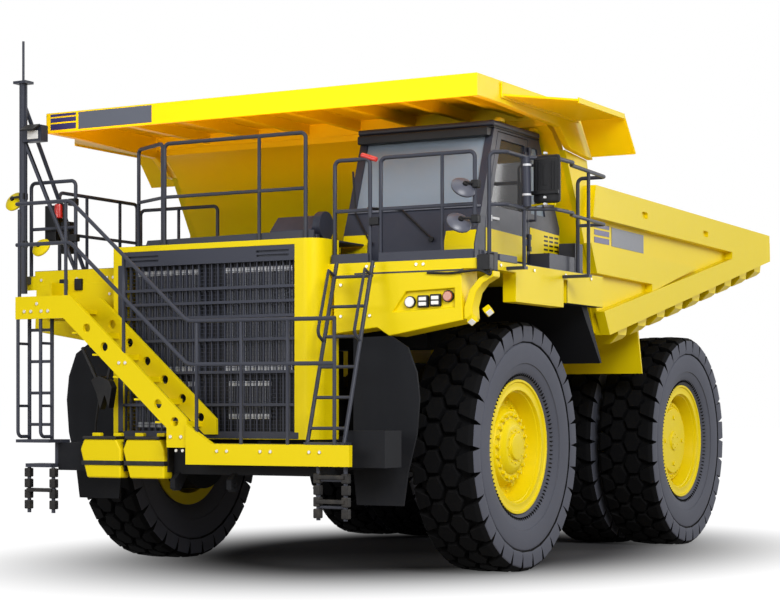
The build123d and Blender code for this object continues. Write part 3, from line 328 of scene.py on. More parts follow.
# The windscreen's blue-grey is painted sky reflection.
SCREEN = glass_material("windscreen glass", (0.36, 0.44, 0.53), 0.42)
LENS = painted("lamp lens", (0.8, 0.8, 0.78), gloss=0.1, dust=0.0)

finish_of_slot = {
    "yellow_paint": YELLOW,
    "dark_paint": SLATE,
    "tube_paint": TUBE,
    "tyre_rubber": RUBBER,
    "radiator_core": CORE,
    "cylinder_steel": STEEL,
    "cast_parts": CHASSIS,
    "window_glass": GLASS,
    "lamp_lens": LENS,
    "cab_trim": TRIM,
}


def give(obj, material):
    obj.data.materials.clear()
    obj.data.materials.append(material)


for subpart in frame["record"]["subparts"]:
    node = nodes[subpart["node"]]
    give(node, finish_of_slot[subpart["material_slot"]])
for name in ("frame_rails", "front_crossmember", "tanks", "mudguards"):
    give(nodes[name], CHASSIS)

# =====================================================================
# Modelling helpers
# =====================================================================
MERGE_WITHIN = 0.0002
SMOOTH_UNDER = math.radians(35)


def pick(piece):
    """Makes one piece the only chosen and the active one."""
    bpy.ops.object.select_all(action="DESELECT")
    piece.select_set(True)
    bpy.context.view_layer.objects.active = piece


def keep_place():
    """Puts the chosen piece's place, turn and size into its mesh."""
    bpy.ops.object.transform_apply(location=True, rotation=True, scale=True)


def edit_mode():
    bpy.ops.object.mode_set(mode="EDIT")
    bpy.ops.mesh.select_mode(type="VERT")
    bpy.ops.mesh.select_all(action="SELECT")


def object_mode():
    bpy.ops.object.mode_set(mode="OBJECT")


def wire(name, points):
    """A chain of edges drawn point by point; it is left in edit mode, all selected."""
    bpy.ops.object.select_all(action="DESELECT")
    bpy.ops.mesh.primitive_plane_add(size=0.01, location=points[0])
    piece = bpy.context.active_object
    piece.name = name
    edit_mode()
    bpy.ops.mesh.merge(type="CENTER")
    for here, there in zip(points, points[1:]):
        bpy.ops.mesh.extrude_region_move(TRANSFORM_OT_translate={"value": Vector(there) - Vector(here)})
    bpy.ops.mesh.select_all(action="SELECT")
    return piece


def settle(piece):
    """Leaves edit mode with outward faces, and puts the piece's place into its mesh."""
    bpy.ops.mesh.select_all(action="SELECT")
    bpy.ops.mesh.remove_doubles(threshold=MERGE_WITHIN)
    bpy.ops.mesh.normals_make_consistent(inside=False)
    object_mode()
    keep_place()
    return piece


def soften(piece, width=0.006, segments=2):
    """Rounded edges that catch the light, and smooth faces between them."""
    pick(piece)
    if width:
        bevel = piece.modifiers.new("edges", "BEVEL")
        bevel.width = width
        bevel.segments = segments
        bevel.limit_method = "ANGLE"
        bevel.angle_limit = math.radians(30)
        bpy.ops.object.modifier_apply(modifier=bevel.name)
    bpy.ops.object.shade_smooth_by_angle(angle=SMOOTH_UNDER)
    flat = piece.modifiers.new("flat", "WEIGHTED_NORMAL")
    flat.keep_sharp = True
    bpy.ops.object.modifier_apply(modifier=flat.name)
    return piece


def plate(name, points, thickness, bevel=0.006):
    """A sheet cut to an outline and given its thickness along a vector."""
    piece = wire(name, points)
    bpy.ops.mesh.edge_face_add()
    bpy.ops.mesh.extrude_region_move(TRANSFORM_OT_translate={"value": thickness})
    settle(piece)
    return soften(piece, bevel)


def block(name, lowest, highest, bevel=0.008):
    bpy.ops.object.select_all(action="DESELECT")
    lowest, highest = Vector(lowest), Vector(highest)
    bpy.ops.mesh.primitive_cube_add(size=1, location=(lowest + highest) / 2, scale=highest - lowest)
    piece = bpy.context.active_object
    piece.name = name
    keep_place()
    return soften(piece, bevel)


def turned(name, profile, centre, steps=64, way=1):
    """A closed (distance outwards, radius) profile spun about a cross axis through the centre."""
    x, y, z = centre
    points = [(x, y + along * way, z + radius) for along, radius in profile]
    piece = wire(name, points + points[:1])
    bpy.ops.mesh.spin(steps=steps, angle=math.tau, center=centre, axis=(0, 1, 0))
    settle(piece)
    return soften(piece, 0)


def ring_of(piece, count, centre):
    """Repeats the whole of a piece round the cross axis through a centre."""
    pick(piece)
    edit_mode()
    share = (count - 1) / count
    bpy.ops.mesh.spin(
        steps=count - 1, dupli=True, angle=math.tau * share, center=centre, axis=(0, 1, 0)
    )
    bpy.ops.mesh.select_all(action="SELECT")
    bpy.ops.mesh.normals_make_consistent(inside=False)
    object_mode()
    return piece


def joined(name, pieces):
    bpy.ops.object.select_all(action="DESELECT")
    for piece in pieces:
        piece.select_set(True)
    bpy.context.view_layer.objects.active = pieces[0]
    bpy.ops.object.join()
    pieces[0].name = name
    return pieces[0]


def round_bar(name, start, end, radius, sides=16, bevel=0.0):
    """A round bar, bolt head or disc between two points."""
    bpy.ops.object.select_all(action="DESELECT")
    start, end = Vector(start), Vector(end)
    way = end - start
    bpy.ops.mesh.primitive_cylinder_add(
        vertices=sides,
        radius=radius,
        depth=way.length,
        location=(start + end) / 2,
        rotation=way.to_track_quat("Z", "Y").to_euler(),
    )
    piece = bpy.context.active_object
    piece.name = name
    keep_place()
    return soften(piece, bevel)


def pipe(name, routes, radius, bend=0.06, sides=2):
    """Round tubes along straight runs with rounded corners; every route is a list of points."""
    tubes = []
    for route in routes:
        tube = wire(name, route)
        if len(route) > 2:
            bpy.ops.mesh.select_all(action="DESELECT")
            object_mode()
            for vertex in tube.data.vertices:
                vertex.select = 0 < vertex.index < len(route) - 1
            bpy.ops.object.mode_set(mode="EDIT")
            bpy.ops.mesh.bevel(offset=bend, segments=5, affect="VERTICES")
        object_mode()
        bpy.ops.object.convert(target="CURVE")
        tube = bpy.context.active_object
        tube.data.bevel_depth = radius
        tube.data.bevel_resolution = sides
        tube.data.use_fill_caps = True
        tube.data.twist_mode = "MINIMUM"
        bpy.ops.object.convert(target="MESH")
        tube = bpy.context.active_object
        keep_place()
        tubes.append(tube)
    whole = joined(name, tubes)
    return soften(whole, 0)


def dress(piece, body, material, replaces=None):
    """Puts a finished piece on its body with its material, in place of a CAD node if one is named."""
    if material is not None:
        give(piece, material)
    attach(piece, body)
    if replaces:
        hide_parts(*([replaces] if isinstance(replaces, str) else replaces))
    return piece


# =====================================================================
# Tyres and rims
# =====================================================================
TYRE_RADIUS = float(high("tyre_front_left").z) / 2
TYRE_HALF = float(high("tyre_front_left").y - low("tyre_front_left").y) / 2
PITCHES = 30
LUG_FOOT, CELL_FOOT = 1.112, 1.272  # radii at which the shoulder lugs and middle blocks start
WHEEL_DISH = 0.02


def carcass(name, centre):
    """The tyre's body under its tread: bead, concave flank with its ribs, and the sidewall's bands."""
    half = [
        (0.215, 0.630), (0.232, 0.700), (0.240, 0.735), (0.272, 0.765), (0.300, 0.800), (0.318, 0.850),
        (0.330, 0.895), (0.341, 0.900), (0.350, 0.950), (0.356, 1.020), (0.357, 1.090), (0.352, 1.110),
        (0.340, 1.120), (0.330, 1.180), (0.290, 1.250), (0.200, 1.280),
    ]
    mirrored = [(-along, radius) for along, radius in half]
    return turned(name, mirrored + half[::-1], centre, steps=90)


def tread(name, centre):
    """Shoulder lugs with their notches, and two staggered rows of six-sided blocks between them."""
    x, y, z = centre
    pieces = []
    for side in (1, -1):
        shift = 0.0 if side > 0 else math.pi / PITCHES
        section = [
            (0.185, 1.270), (0.185, TYRE_RADIUS), (0.320, TYRE_RADIUS - 0.012), (TYRE_HALF - 0.004, 1.292),
            (TYRE_HALF, 1.190), (TYRE_HALF - 0.010, 1.130), (0.335, LUG_FOOT),
        ]
        points = [(x - 0.122, y + side * along, z + radius) for along, radius in section]
        lug = wire(name, points)
        bpy.ops.mesh.edge_face_add()
        bpy.ops.mesh.extrude_region_move(TRANSFORM_OT_translate={"value": (0.244, 0, 0)})
        settle(lug)
        for vertex in lug.data.vertices:
            reach = abs(vertex.co.y - y)
            depth = (vertex.co.z - z - LUG_FOOT) / (TYRE_RADIUS - LUG_FOOT)
            width = 0.45 if reach < 0.2 else 1.02 - 0.12 * depth
            vertex.co.x = x + (vertex.co.x - x) * width
        soften(lug, 0.010, 2)
        ring_of(lug, PITCHES, centre)
        turn(lug, centre, shift)
        pieces.append(lug)
    for side in (1, -1):
        shift = math.pi / PITCHES if side > 0 else 0.0
        bpy.ops.object.select_all(action="DESELECT")
        bpy.ops.mesh.primitive_circle_add(
            vertices=6, radius=0.142, fill_type="NGON", location=(x, y + side * 0.098, z + CELL_FOOT)
        )
        cell = bpy.context.active_object
        cell.name = name
        edit_mode()
        bpy.ops.transform.resize(value=(1.0, 0.80, 1.0))
        bpy.ops.mesh.extrude_region_move(TRANSFORM_OT_translate={"value": (0, 0, TYRE_RADIUS - CELL_FOOT)})
        bpy.ops.transform.resize(value=(0.90, 0.90, 1.0))
        settle(cell)
        soften(cell, 0.008, 2)
        ring_of(cell, PITCHES, centre)
        turn(cell, centre, shift)
        pieces.append(cell)
    return joined(name, pieces)


def turn(piece, centre, angle):
    """Turns a piece about the cross axis through a centre."""
    if not angle:
        return
    pick(piece)
    edit_mode()
    bpy.ops.transform.rotate(value=angle, orient_axis="Y", center_override=centre)
    object_mode()


def tyre_piece(name, centre):
    body = carcass(name + "_body", centre)
    whole = joined(name, [body, tread(name + "_blocks", centre)])
    give(whole, SIDEWALL)
    whole.data.materials.append(TREAD_WITH_PAINTED_SHADE)
    # Faces out on the tread and between the shoulders take the near-black tread: painted shade over dark
    # rubber.
    for face in whole.data.polygons:
        radius = math.hypot(face.center.x - centre[0], face.center.z - centre[2])
        inner = abs(face.center.y - centre[1]) < TYRE_HALF * 0.85
        face.material_index = int(radius > 1.115 and (abs(face.normal.y) < 0.75 or inner))
    return whole


def flank_ribs(name, centre, way):
    """Fine raised ribs all round the flank just outside the rim."""
    x, y, z = centre
    flank = y + way * 0.27
    rib = block(name, (x - 0.004, flank - 0.02, z + 0.765), (x + 0.004, flank + 0.03, z + 0.835), 0)
    return ring_of(rib, 100, centre)


def studs(name, centre, way, radius, depth, count, size, height):
    """A ring of six-sided nuts standing on a face."""
    x, y, z = centre
    nut = round_bar(
        name, (x, y + way * depth, z + radius), (x, y + way * (depth + height), z + radius), size, 6, 0.003
    )
    return ring_of(nut, count, centre)


RIM_EDGE = [
    (0.262, 0.715), (0.262, 0.724), (0.248, 0.727), (0.232, 0.716), (0.225, 0.640), (0.215, 0.628),
]


def rim_barrel(name, centre, way, dish):
    """Flanges, the gutter and lock ring, and the cone that leads in to the wheel's dish."""
    outer = [
        (0.262, 0.702), (0.246, 0.690), (0.240, 0.655), (0.246, 0.638), (0.246, 0.612), (0.232, 0.604),
        (0.212, 0.602), (0.206, 0.592), (0.150, 0.575), (dish + 0.05, 0.560),
    ]
    inner = [(-0.262, 0.590), (-0.262, 0.724), (-0.232, 0.716), (-0.225, 0.640), (-0.215, 0.628)]
    profile = list(reversed(RIM_EDGE)) + outer + [(dish, 0.548)] + inner
    return turned(name, profile, centre, steps=72, way=way)


def front_rim(name, centre, way):
    """The front wheel: a deep barrel, a coned dish with its studs, and a domed hub with its cap."""
    dish = WHEEL_DISH
    pieces = [rim_barrel(name + "_barrel", centre, way, dish)]
    hub = [
        (dish + 0.000, 0.560), (dish + 0.020, 0.560), (dish + 0.022, 0.450), (dish + 0.040, 0.425),
        (dish + 0.120, 0.395), (dish + 0.135, 0.380), (dish + 0.140, 0.300), (dish + 0.165, 0.285),
        (dish + 0.190, 0.235), (dish + 0.196, 0.215), (dish + 0.196, 0.150), (dish + 0.222, 0.140),
        (dish + 0.228, 0.120), (dish + 0.228, 0.002), (dish - 0.10, 0.002),
    ]
    pieces.append(turned(name + "_hub", hub, centre, steps=64, way=way))
    for part, radius, depth, count, size, height in (
        ("_nuts", 0.345, 0.138, 20, 0.022, 0.035),
        ("_bolts", 0.180, 0.196, 12, 0.013, 0.012),
        ("_wedges", 0.500, 0.021, 24, 0.018, 0.020),
    ):
        pieces.append(studs(name + part, centre, way, radius, dish + depth, count, size, height))
    for turn_by in (0.6, 2.7, 4.8):
        lug = block(
            name + "_lug",
            (centre[0] - 0.045, centre[1] + way * (dish + 0.03) - 0.03, centre[2] + 0.395),
            (centre[0] + 0.045, centre[1] + way * (dish + 0.03) + 0.05, centre[2] + 0.470),
            0.01,
        )
        turn(lug, centre, turn_by)
        pieces.append(lug)
    return joined(name, pieces)


def rear_rim(name, centre, way):
    """The rear wheel: a deep barrel and the flat final drive cover with its close ring of bolts."""
    dish = WHEEL_DISH
    pieces = [rim_barrel(name + "_barrel", centre, way, dish)]
    cover = [
        (dish + 0.000, 0.560), (dish + 0.015, 0.560), (dish + 0.015, 0.515), (dish + 0.080, 0.505),
        (dish + 0.085, 0.500), (dish + 0.085, 0.425), (dish + 0.125, 0.415), (dish + 0.130, 0.405),
        (dish + 0.130, 0.130), (dish + 0.148, 0.120), (dish + 0.150, 0.110), (dish + 0.150, 0.002),
        (dish - 0.10, 0.002),
    ]
    pieces.append(turned(name + "_cover", cover, centre, steps=72, way=way))
    for part, radius, depth, count, size, height in (
        ("_ring", 0.462, 0.085, 44, 0.014, 0.018),
        ("_plugs", 0.300, 0.130, 4, 0.030, 0.016),
        ("_heads", 0.085, 0.150, 6, 0.012, 0.010),
    ):
        pieces.append(studs(name + part, centre, way, radius, dish + depth, count, size, height))
    return joined(name, pieces)


def rear_barrel_inside(name, centre, way):
    """The inner rim of a pair and the drum that joins it to the outer one."""
    profile = [
        (-0.262, 0.590), (-0.262, 0.724), (-0.232, 0.716), (-0.215, 0.628), (0.215, 0.628), (0.232, 0.716),
        (0.262, 0.724), (0.262, 0.600), (0.60, 0.600), (0.60, 0.520), (-0.10, 0.520), (-0.12, 0.590),
    ]
    return turned(name, profile, centre, steps=72, way=way)


def make_wheels():
    for side, way in (("left", 1), ("right", -1)):
        node = "tyre_front_" + side
        centre = middle(node)
        front = tyre_piece("front_tyre_" + side, centre)
        ribs = flank_ribs("front_ribs_" + side, centre, way)
        # The ribs take the near-black tread: painted shade in the concave flank by the rim.
        give(ribs, TREAD_WITH_PAINTED_SHADE)
        front = joined("front_tyre_" + side, [front, ribs])
        dress(front, "wheel_front_" + side, None, node)
        rim = front_rim("front_rim_" + side, centre, way)
        dress(rim, "wheel_front_" + side, YELLOW, "rim_front_" + side)
        node = "tyres_rear_" + side
        centre = middle(node)
        spread = (high(node).y - low(node).y - 2 * TYRE_HALF) / 2
        outer = centre + Vector((0, way * spread, 0))
        inner = centre - Vector((0, way * spread, 0))
        pair = [tyre_piece("rear_tyre_" + side, outer), tyre_piece("inner_tyre_" + side, inner)]
        ribs = flank_ribs("rear_ribs_" + side, outer, way)
        # The ribs take the near-black tread: painted shade in the concave flank by the rim.
        give(ribs, TREAD_WITH_PAINTED_SHADE)
        dress(joined("rear_tyres_" + side, pair + [ribs]), "wheels_rear_" + side, None, node)
        rims = [rear_rim("rear_rim_" + side, outer, way), rear_barrel_inside("inner_rim_" + side, inner, way)]
        rim = joined("rear_rims_" + side, rims)
        dress(rim, "wheels_rear_" + side, YELLOW, "rim_rear_" + side)


# =====================================================================
# The frame's own solids, finished: merged, edges rounded, painted by place
# =====================================================================
FRONT_AXLE = float(middle("tyre_front_left").x)
body_of_node = {node: body for body, held in frame["record"]["behaviour"]["bodies"].items() for node in held}
slot_of_node = {subpart["node"]: subpart["material_slot"] for subpart in frame["record"]["subparts"]}


def at(x, y, z):
    """A place counted from the front axle, in metres."""
    return Vector((FRONT_AXLE + x, y, z))


def route(*places):
    """Places one after the other, each counted from the front axle."""
    return [at(*place) for place in places]


def blocks(name, bevel, *rows):
    """Blocks of one kind; a row holds the lowest and the highest corner, counted from the front axle."""
    return [block(name, at(*row[:3]), at(*row[3:]), bevel) for row in rows]


def paint_by_place(piece, materials, rule):
    """Every face takes the material whose number the rule gives for its centre and its normal."""
    piece.data.materials.clear()
    for material in materials:
        piece.data.materials.append(material)
    for face in piece.data.polygons:
        centre = face.center - Vector((FRONT_AXLE, 0, 0))
        face.material_index = rule(centre, face.normal)


def finished(node, width=0.006, materials=None, rule=None, reshape=None):
    """A merged copy of a solid with rounded edges, shown in the solid's place."""
    source = nodes[node]
    piece = bpy.data.objects.new(node + "_finished", source.data.copy())
    bpy.context.scene.collection.objects.link(piece)
    piece.matrix_world = source.matrix_world
    pick(piece)
    keep_place()
    edit_mode()
    bpy.ops.mesh.remove_doubles(threshold=MERGE_WITHIN)
    bpy.ops.mesh.dissolve_limited(angle_limit=math.radians(1.0))
    bpy.ops.mesh.normals_make_consistent(inside=False)
    object_mode()
    if reshape:
        for vertex in piece.data.vertices:
            vertex.co = reshape(vertex.co)
    soften(piece, width)
    if rule:
        paint_by_place(piece, materials, rule)
        material = None
    else:
        material = materials[0] if materials else node_finish[node]
    return dress(piece, body_of_node[node], material, node)


TOE_TOP_LEFT, TOE_TOP_RIGHT = 3.335, 3.305
DECK_FLOOR = 3.242


def lower_toe_boards(place):
    """The toe boards along the deck's front stand a hand's breadth over its floor."""
    if place.x > FRONT_AXLE + 1.5 and place.z > 3.40:
        return Vector((place.x, place.y, TOE_TOP_LEFT if place.y > 0 else TOE_TOP_RIGHT))
    return place


node_finish = {node: finish_of_slot[slot] for node, slot in slot_of_node.items()}
for name in (
    "frame_rails", "front_crossmember", "tanks", "mudguards", "rear_axle", "front_struts",
    "knuckle_left", "knuckle_right", "tie_rod",
):
    node_finish[name] = CHASSIS


def finish_solids():
    for node, width in (
        ("body_side_left", 0.012), ("body_side_right", 0.012), ("body_front_wall", 0.010),
        ("body_canopy", 0.010), ("body_wings", 0.005), ("body_floor", 0.008), ("grille_frame", 0.012),
        ("lamp_housings", 0.010), ("wheel_chocks", 0.020), ("stair", 0.004), ("cab_shell", 0.008),
        ("cab_door", 0.006), ("cab_roof", 0.018), ("hood", 0.010), ("frame_rails", 0.008),
        ("front_crossmember", 0.008), ("tanks", 0.030), ("mudguards", 0.005), ("cab_interior", 0.012),
    ):
        finished(node, width)
    for node in ("handrails", "ladders", "mast", "knuckle_left", "knuckle_right", "tie_rod", "rear_axle"):
        finished(node, 0)
    finished("grille", 0, materials=[SLATE])
    finished(
        "deck",
        0.006,
        materials=[YELLOW, SLATE, CHASSIS],
        # Faces above the deck floor take the slate; those under the deck's left side, behind the front axle,
        # take black as painted shade from the deck.
        rule=lambda c, n: 1 if c.z > DECK_FLOOR else (2 if c.x < -0.31 and 2.71 < c.y and c.z < 3.13 else 0),
        reshape=lower_toe_boards,
    )


# =====================================================================
# Small parts: bolts, plates and stripes
# =====================================================================
HEAD_HEIGHT = 0.014
STAIR_FRONT, BEAM_FRONT, DECK_FRONT, HOUSING_FRONT = 2.6805, 2.7005, 1.8605, 1.8705
CANOPY_FRONT, BODY_SIDE, CAB_SIDE = 1.6305, 2.6505, 2.4505


def heads(name, places, way, radius=0.018):
    """Six-sided bolt heads standing out along a direction, all in one mesh."""
    way = Vector(way).normalized()
    turn_to = way.to_track_quat("Z", "Y").to_euler()
    bpy.ops.object.select_all(action="DESELECT")
    first = True
    for place in places:
        bpy.ops.mesh.primitive_cylinder_add(
            vertices=6,
            radius=radius,
            depth=HEAD_HEIGHT,
            location=Vector(place) + way * HEAD_HEIGHT / 2,
            rotation=turn_to,
        )
        if first:
            piece = bpy.context.active_object
            piece.name = name
            keep_place()
            bpy.ops.object.mode_set(mode="EDIT")
            first = False
    object_mode()
    return soften(piece, 0.002, 1)


def side_sheet(name, outline, y, thickness=0.004):
    """A sheet lying on a face that looks sideways; the outline is (x, z) from the front axle."""
    return plate(name, [at(x, y, z) for x, z in outline], Vector((0, thickness, 0)), 0.001)


def front_sheet(name, outline, x, thickness=0.004):
    """A sheet lying on a face that looks forwards; the outline is (y, z)."""
    return plate(name, [at(x, y, z) for y, z in outline], Vector((thickness, 0, 0)), 0.001)


def rectangle(a0, a1, b0, b1):
    return [(a0, b0), (a1, b0), (a1, b1), (a0, b1)]


BLUE = painted("stripe blue", (0.028, 0.020, 0.130), gloss=0.35, dust=0.04)
PLATE_GREY = painted("plate grey", (0.105, 0.118, 0.155), gloss=0.35, dust=0.05)
BOLT = painted("plated bolts", (0.62, 0.60, 0.56), gloss=0.35, metallic=0.7, dust=0.1)
RED = painted("extinguisher red", (0.62, 0.02, 0.012), gloss=0.25, coat=0.3)
AMBER = painted("amber lens", (0.42, 0.085, 0.006), gloss=0.12, coat=0.5, dust=0.0)
BLACK = painted("matt black", (0.0060, 0.0064, 0.0080), gloss=0.45, shine=0.2)
MIRROR_BACK = painted("mirror back", (0.075, 0.082, 0.112), gloss=0.35)
FIN = painted("core tubes", (0.11, 0.115, 0.13), gloss=0.45)
HEADER = painted("bright headers", (0.62, 0.64, 0.68), gloss=0.35)


def stripes():
    """Three bars and a blank plate at the canopy's right end, and again on the body's sides."""
    bars = ((5.062, 5.092), (4.998, 5.046), (4.912, 4.980))
    sheets = [front_sheet("canopy_stripe", rectangle(-2.66, -2.30, z0, z1), CANOPY_FRONT) for z0, z1 in bars]
    dress(joined("canopy_stripes", sheets), "dump_body", BLUE)
    blank = front_sheet("canopy_plate", rectangle(-2.265, -1.255, 4.903, 5.092), CANOPY_FRONT)
    dress(blank, "dump_body", PLATE_GREY)
    for side, way in (("left", 1), ("right", -1)):
        y = way * BODY_SIDE
        bars = ((3.835, 3.880), (3.752, 3.812), (3.662, 3.728))
        sheets = [
            side_sheet("body_stripe", rectangle(-1.52, -1.96, z0, z1), y, way * 0.004) for z0, z1 in bars
        ]
        dress(joined("body_stripes_" + side, sheets), "dump_body", BLUE)
        blank = [(-2.03, 3.655), (-2.03, 3.875), (-3.03, 3.862), (-3.03, 3.642)]
        dress(side_sheet("body_plate_" + side, blank, y, way * 0.004), "dump_body", PLATE_GREY)


def bolt_rows():
    """Bolt heads on the stair, the walkway, the deck's edge, the lamp housings and the mud panels."""
    places = [(-2.16, 2.80), (-2.07, 2.80), (-1.93, 2.80), (-1.84, 2.80), (-1.99, 2.88)]
    places += [(-0.90, 2.235), (-0.82, 2.235), (-0.245, 1.470), (-0.115, 1.470)]
    stair = heads("stair_bolts", [at(STAIR_FRONT, y, z) for y, z in places], (1, 0, 0), 0.02)
    dress(stair, "chassis", BOLT)
    beam = [(y, 1.33) for y in (-0.16, -0.08, 0.34, 0.46, 0.86, 0.98, 1.43, 1.55)]
    dress(heads("beam_bolts", [at(BEAM_FRONT, y, z) for y, z in beam], (1, 0, 0)), "chassis", BOLT)
    edge = [(y, 3.20) for y in (1.60, 1.68, 2.17, 2.25, -1.60, -1.68, -2.10, -2.60)]
    dress(heads("deck_bolts", [at(DECK_FRONT, y, z) for y, z in edge], (1, 0, 0)), "chassis", BOLT)
    panel = [(y, z) for y in (1.30, 1.64, -1.64) for z in (2.70, 3.02)]
    dress(heads("housing_bolts", [at(HOUSING_FRONT, y, z) for y, z in panel], (1, 0, 0)), "chassis", BOLT)
    side_edge = [(x, 3.20) for x in (1.35, 0.55, -0.25, -0.95)]
    dress(heads("deck_side_bolts", [at(x, 2.8505, z) for x, z in side_edge], (0, 1, 0)), "chassis", BOLT)


# =====================================================================
# Radiator, grille and lamps
# =====================================================================
def radiator_cores():
    """Upright tubes and fins in bright headers, in the places of the solid's cores, before a dark back."""
    back = block("radiator_back", at(1.70, -1.19, 1.52), at(1.915, 0.86, 3.33), 0.01)
    give(back, BLACK)
    pieces = [back]
    for y0, y1, z0, z1 in (
        (-1.175, -0.35, 2.15, 3.24), (-0.045, 0.80, 2.15, 3.24),
        (-1.175, -0.35, 1.56, 2.05), (0.015, 0.535, 1.65, 2.05),
    ):
        core = block("core", at(1.915, y0, z0), at(1.985, y1, z1), 0)
        give(core, CORE)
        pieces.append(core)
        count = max(int((y1 - y0) / 0.032), 2)
        rib = block("core_tube", at(1.985, y0, z0), at(2.001, y0 + 0.014, z1), 0)
        repeat(rib, (0, (y1 - y0 - 0.014) / count, 0), count + 1)
        give(rib, FIN)
        pieces.append(rib)
        for low_z in (z0, z1 - 0.06):
            header = block("header", at(1.975, y0, low_z), at(2.008, y1, low_z + 0.055), 0.006)
            give(header, HEADER)
            pieces.append(header)
    dress(joined("radiator_cores", pieces), "chassis", None, "radiator")


def grille_wires():
    """Fine welded wires behind the grille's bars, level and upright."""
    low_y, high_y, low_z, high_z = -1.29, 0.87, 1.51, 3.29
    across = block("wire_row", at(2.030, low_y, low_z), at(2.034, high_y, low_z + 0.005), 0)
    repeat(across, (0, 0, 0.040), int((high_z - low_z) / 0.040))
    upright = block("wire_column", at(2.034, low_y, low_z), at(2.038, low_y + 0.005, high_z), 0)
    repeat(upright, (0, 0.040, 0), int((high_y - low_y) / 0.040) + 1)
    dress(joined("grille_wires", [across, upright]), "chassis", SLATE)


def repeat(piece, step, count):
    """Repeats the active piece in a row."""
    row = piece.modifiers.new("row", "ARRAY")
    row.use_relative_offset = False
    row.use_constant_offset = True
    row.constant_offset_displace = step
    row.count = count
    bpy.ops.object.modifier_apply(modifier="row")
    return piece


def lamps():
    """Headlamps in black rims, round and square, and the amber turn lamps."""
    rims, lenses, ambers = [], [], []
    for way in (1, -1):
        for y, z, held in ((2.090, 2.826, lenses), (2.520, 2.872, ambers)):
            y *= way
            rims.append(round_bar("lamp_rim", at(1.832, y, z), at(1.862, y, z), 0.060, 32, 0.004))
            held.append(round_bar("lamp_lens", at(1.850, y, z), at(1.874, y, z), 0.052, 32, 0.010))
        for y, z in ((2.240, 2.828), (2.380, 2.836)):
            y *= way
            low_corner, high_corner = at(1.832, y - 0.062, z - 0.062), at(1.868, y + 0.062, z + 0.062)
            rims.append(block("lamp_rim", low_corner, high_corner, 0.012))
            for foot in (z - 0.044, z + 0.006):
                low_corner, high_corner = at(1.860, y - 0.042, foot), at(1.876, y + 0.042, foot + 0.038)
                lenses.append(block("lamp_lens", low_corner, high_corner, 0.006))
    dress(joined("lamp_lenses", lenses), "chassis", LENS, "lamps")
    dress(joined("lamp_rims", rims), "chassis", BLACK)
    dress(joined("turn_lamps", ambers), "chassis", AMBER)


def cab_details():
    """Yellow corners and panels, dark seals, wipers, visor, lamps and handle of the cab."""
    pieces = []
    corner = [
        (1.1205, 3.380), (1.1205, 3.452), (1.062, 3.600), (1.068, 3.603), (1.1265, 3.453), (1.1265, 3.380),
    ]
    for y0, y1 in ((0.862, 1.180), (2.090, 2.440)):
        pieces.append(plate("nose_corner", [at(x, y0, z) for x, z in corner], Vector((0, y1 - y0, 0)), 0.001))
    rear_panel = [(-0.985, 3.390), (-0.985, 3.700), (-0.215, 3.730), (-0.215, 3.390)]
    pieces.append(side_sheet("cab_side_panel", rear_panel, CAB_SIDE, 0.006))
    dress(joined("cab_yellow_panels", pieces), "chassis", YELLOW)
    door_panel = [(0.868, 3.340), (0.868, 3.640), (-0.125, 3.610), (-0.125, 3.340)]
    dress(side_sheet("door_panel", door_panel, CAB_SIDE, 0.005), "cab_door", YELLOW)
    slots = []
    for i in range(5):
        for x in (-0.62, -0.76, -0.90):
            z = 3.46 + i * 0.048
            slots.append(block("louvre", at(x - 0.05, 2.456, z), at(x + 0.05, 2.459, z + 0.020), 0))
    dress(joined("cab_louvres", slots), "chassis", BLACK)
    dress(block("cab_visor", at(0.62, 0.87, 4.610), at(0.80, 2.43, 4.700), 0.012), "chassis", BLACK)
    # wipers lie along the foot of the windscreen, their arms pivot below it
    wipers = []
    for foot, tip, end in (
        ((1.115, 1.95, 3.52), (0.985, 1.52, 3.86), (0.975, 1.10, 3.90)),
        ((1.115, 1.22, 3.50), (0.985, 0.96, 3.84), (0.975, 0.92, 4.30)),
    ):
        wipers.append(pipe("wiper_arm", [route(foot, tip)], 0.010))
        wipers.append(pipe("wiper_blade", [route(tip, end)], 0.012))
        pivot_end = at(foot[0] + 0.03, foot[1], foot[2])
        wipers.append(round_bar("wiper_pivot", at(*foot), pivot_end, 0.028, 16, 0.004))
    dress(joined("wipers", wipers), "chassis", BLACK)
    ledge = block("screen_ledge", at(0.945, 0.86, 3.845), at(0.985, 2.44, 3.872), 0.006)
    dress(ledge, "chassis", MIRROR_BACK)
    grip, lock = (0.58, 2.452, 3.735, 0.74, 2.475, 3.765), (0.74, 2.451, 3.715, 0.80, 2.466, 3.780)
    handle = blocks("handle", 0.006, grip, lock)
    dress(joined("door_handle", handle), "cab_door", HEADER)
    ahead, behind = (0.45, 2.40, 4.784, 0.56, 2.47, 4.824), (-0.40, 2.40, 4.784, -0.30, 2.47, 4.824)
    markers = blocks("marker", 0.008, ahead, behind)
    dress(joined("roof_markers", markers), "chassis", YELLOW)
    grab = route((-0.19, 2.46, 3.80), (-0.19, 2.53, 3.80), (-0.19, 2.53, 4.40), (-0.19, 2.46, 4.40))
    dress(pipe("grab_handle", [grab], 0.016, 0.03), "chassis", TUBE)
    band = block("roof_band", at(-0.43, 0.835, 4.70), at(0.70, 2.465, 4.724), 0.006)
    dress(band, "chassis", BLACK)


def dome(centre, way, radius):
    """A round mirror's domed back: a profile spun about the way it faces."""
    way = Vector(way).normalized()
    across = way.orthogonal().normalized()
    share = (
        (0.000, 0.98), (0.018, 1.00), (0.034, 0.88), (0.052, 0.57),
        (0.060, 0.20), (0.060, 0.01), (0.000, 0.01),
    )
    points = [centre + way * out + across * radius * part for out, part in share]
    piece = wire("dome", points + points[:1])
    bpy.ops.mesh.spin(steps=40, angle=math.tau, center=centre, axis=way)
    return soften(settle(piece), 0)


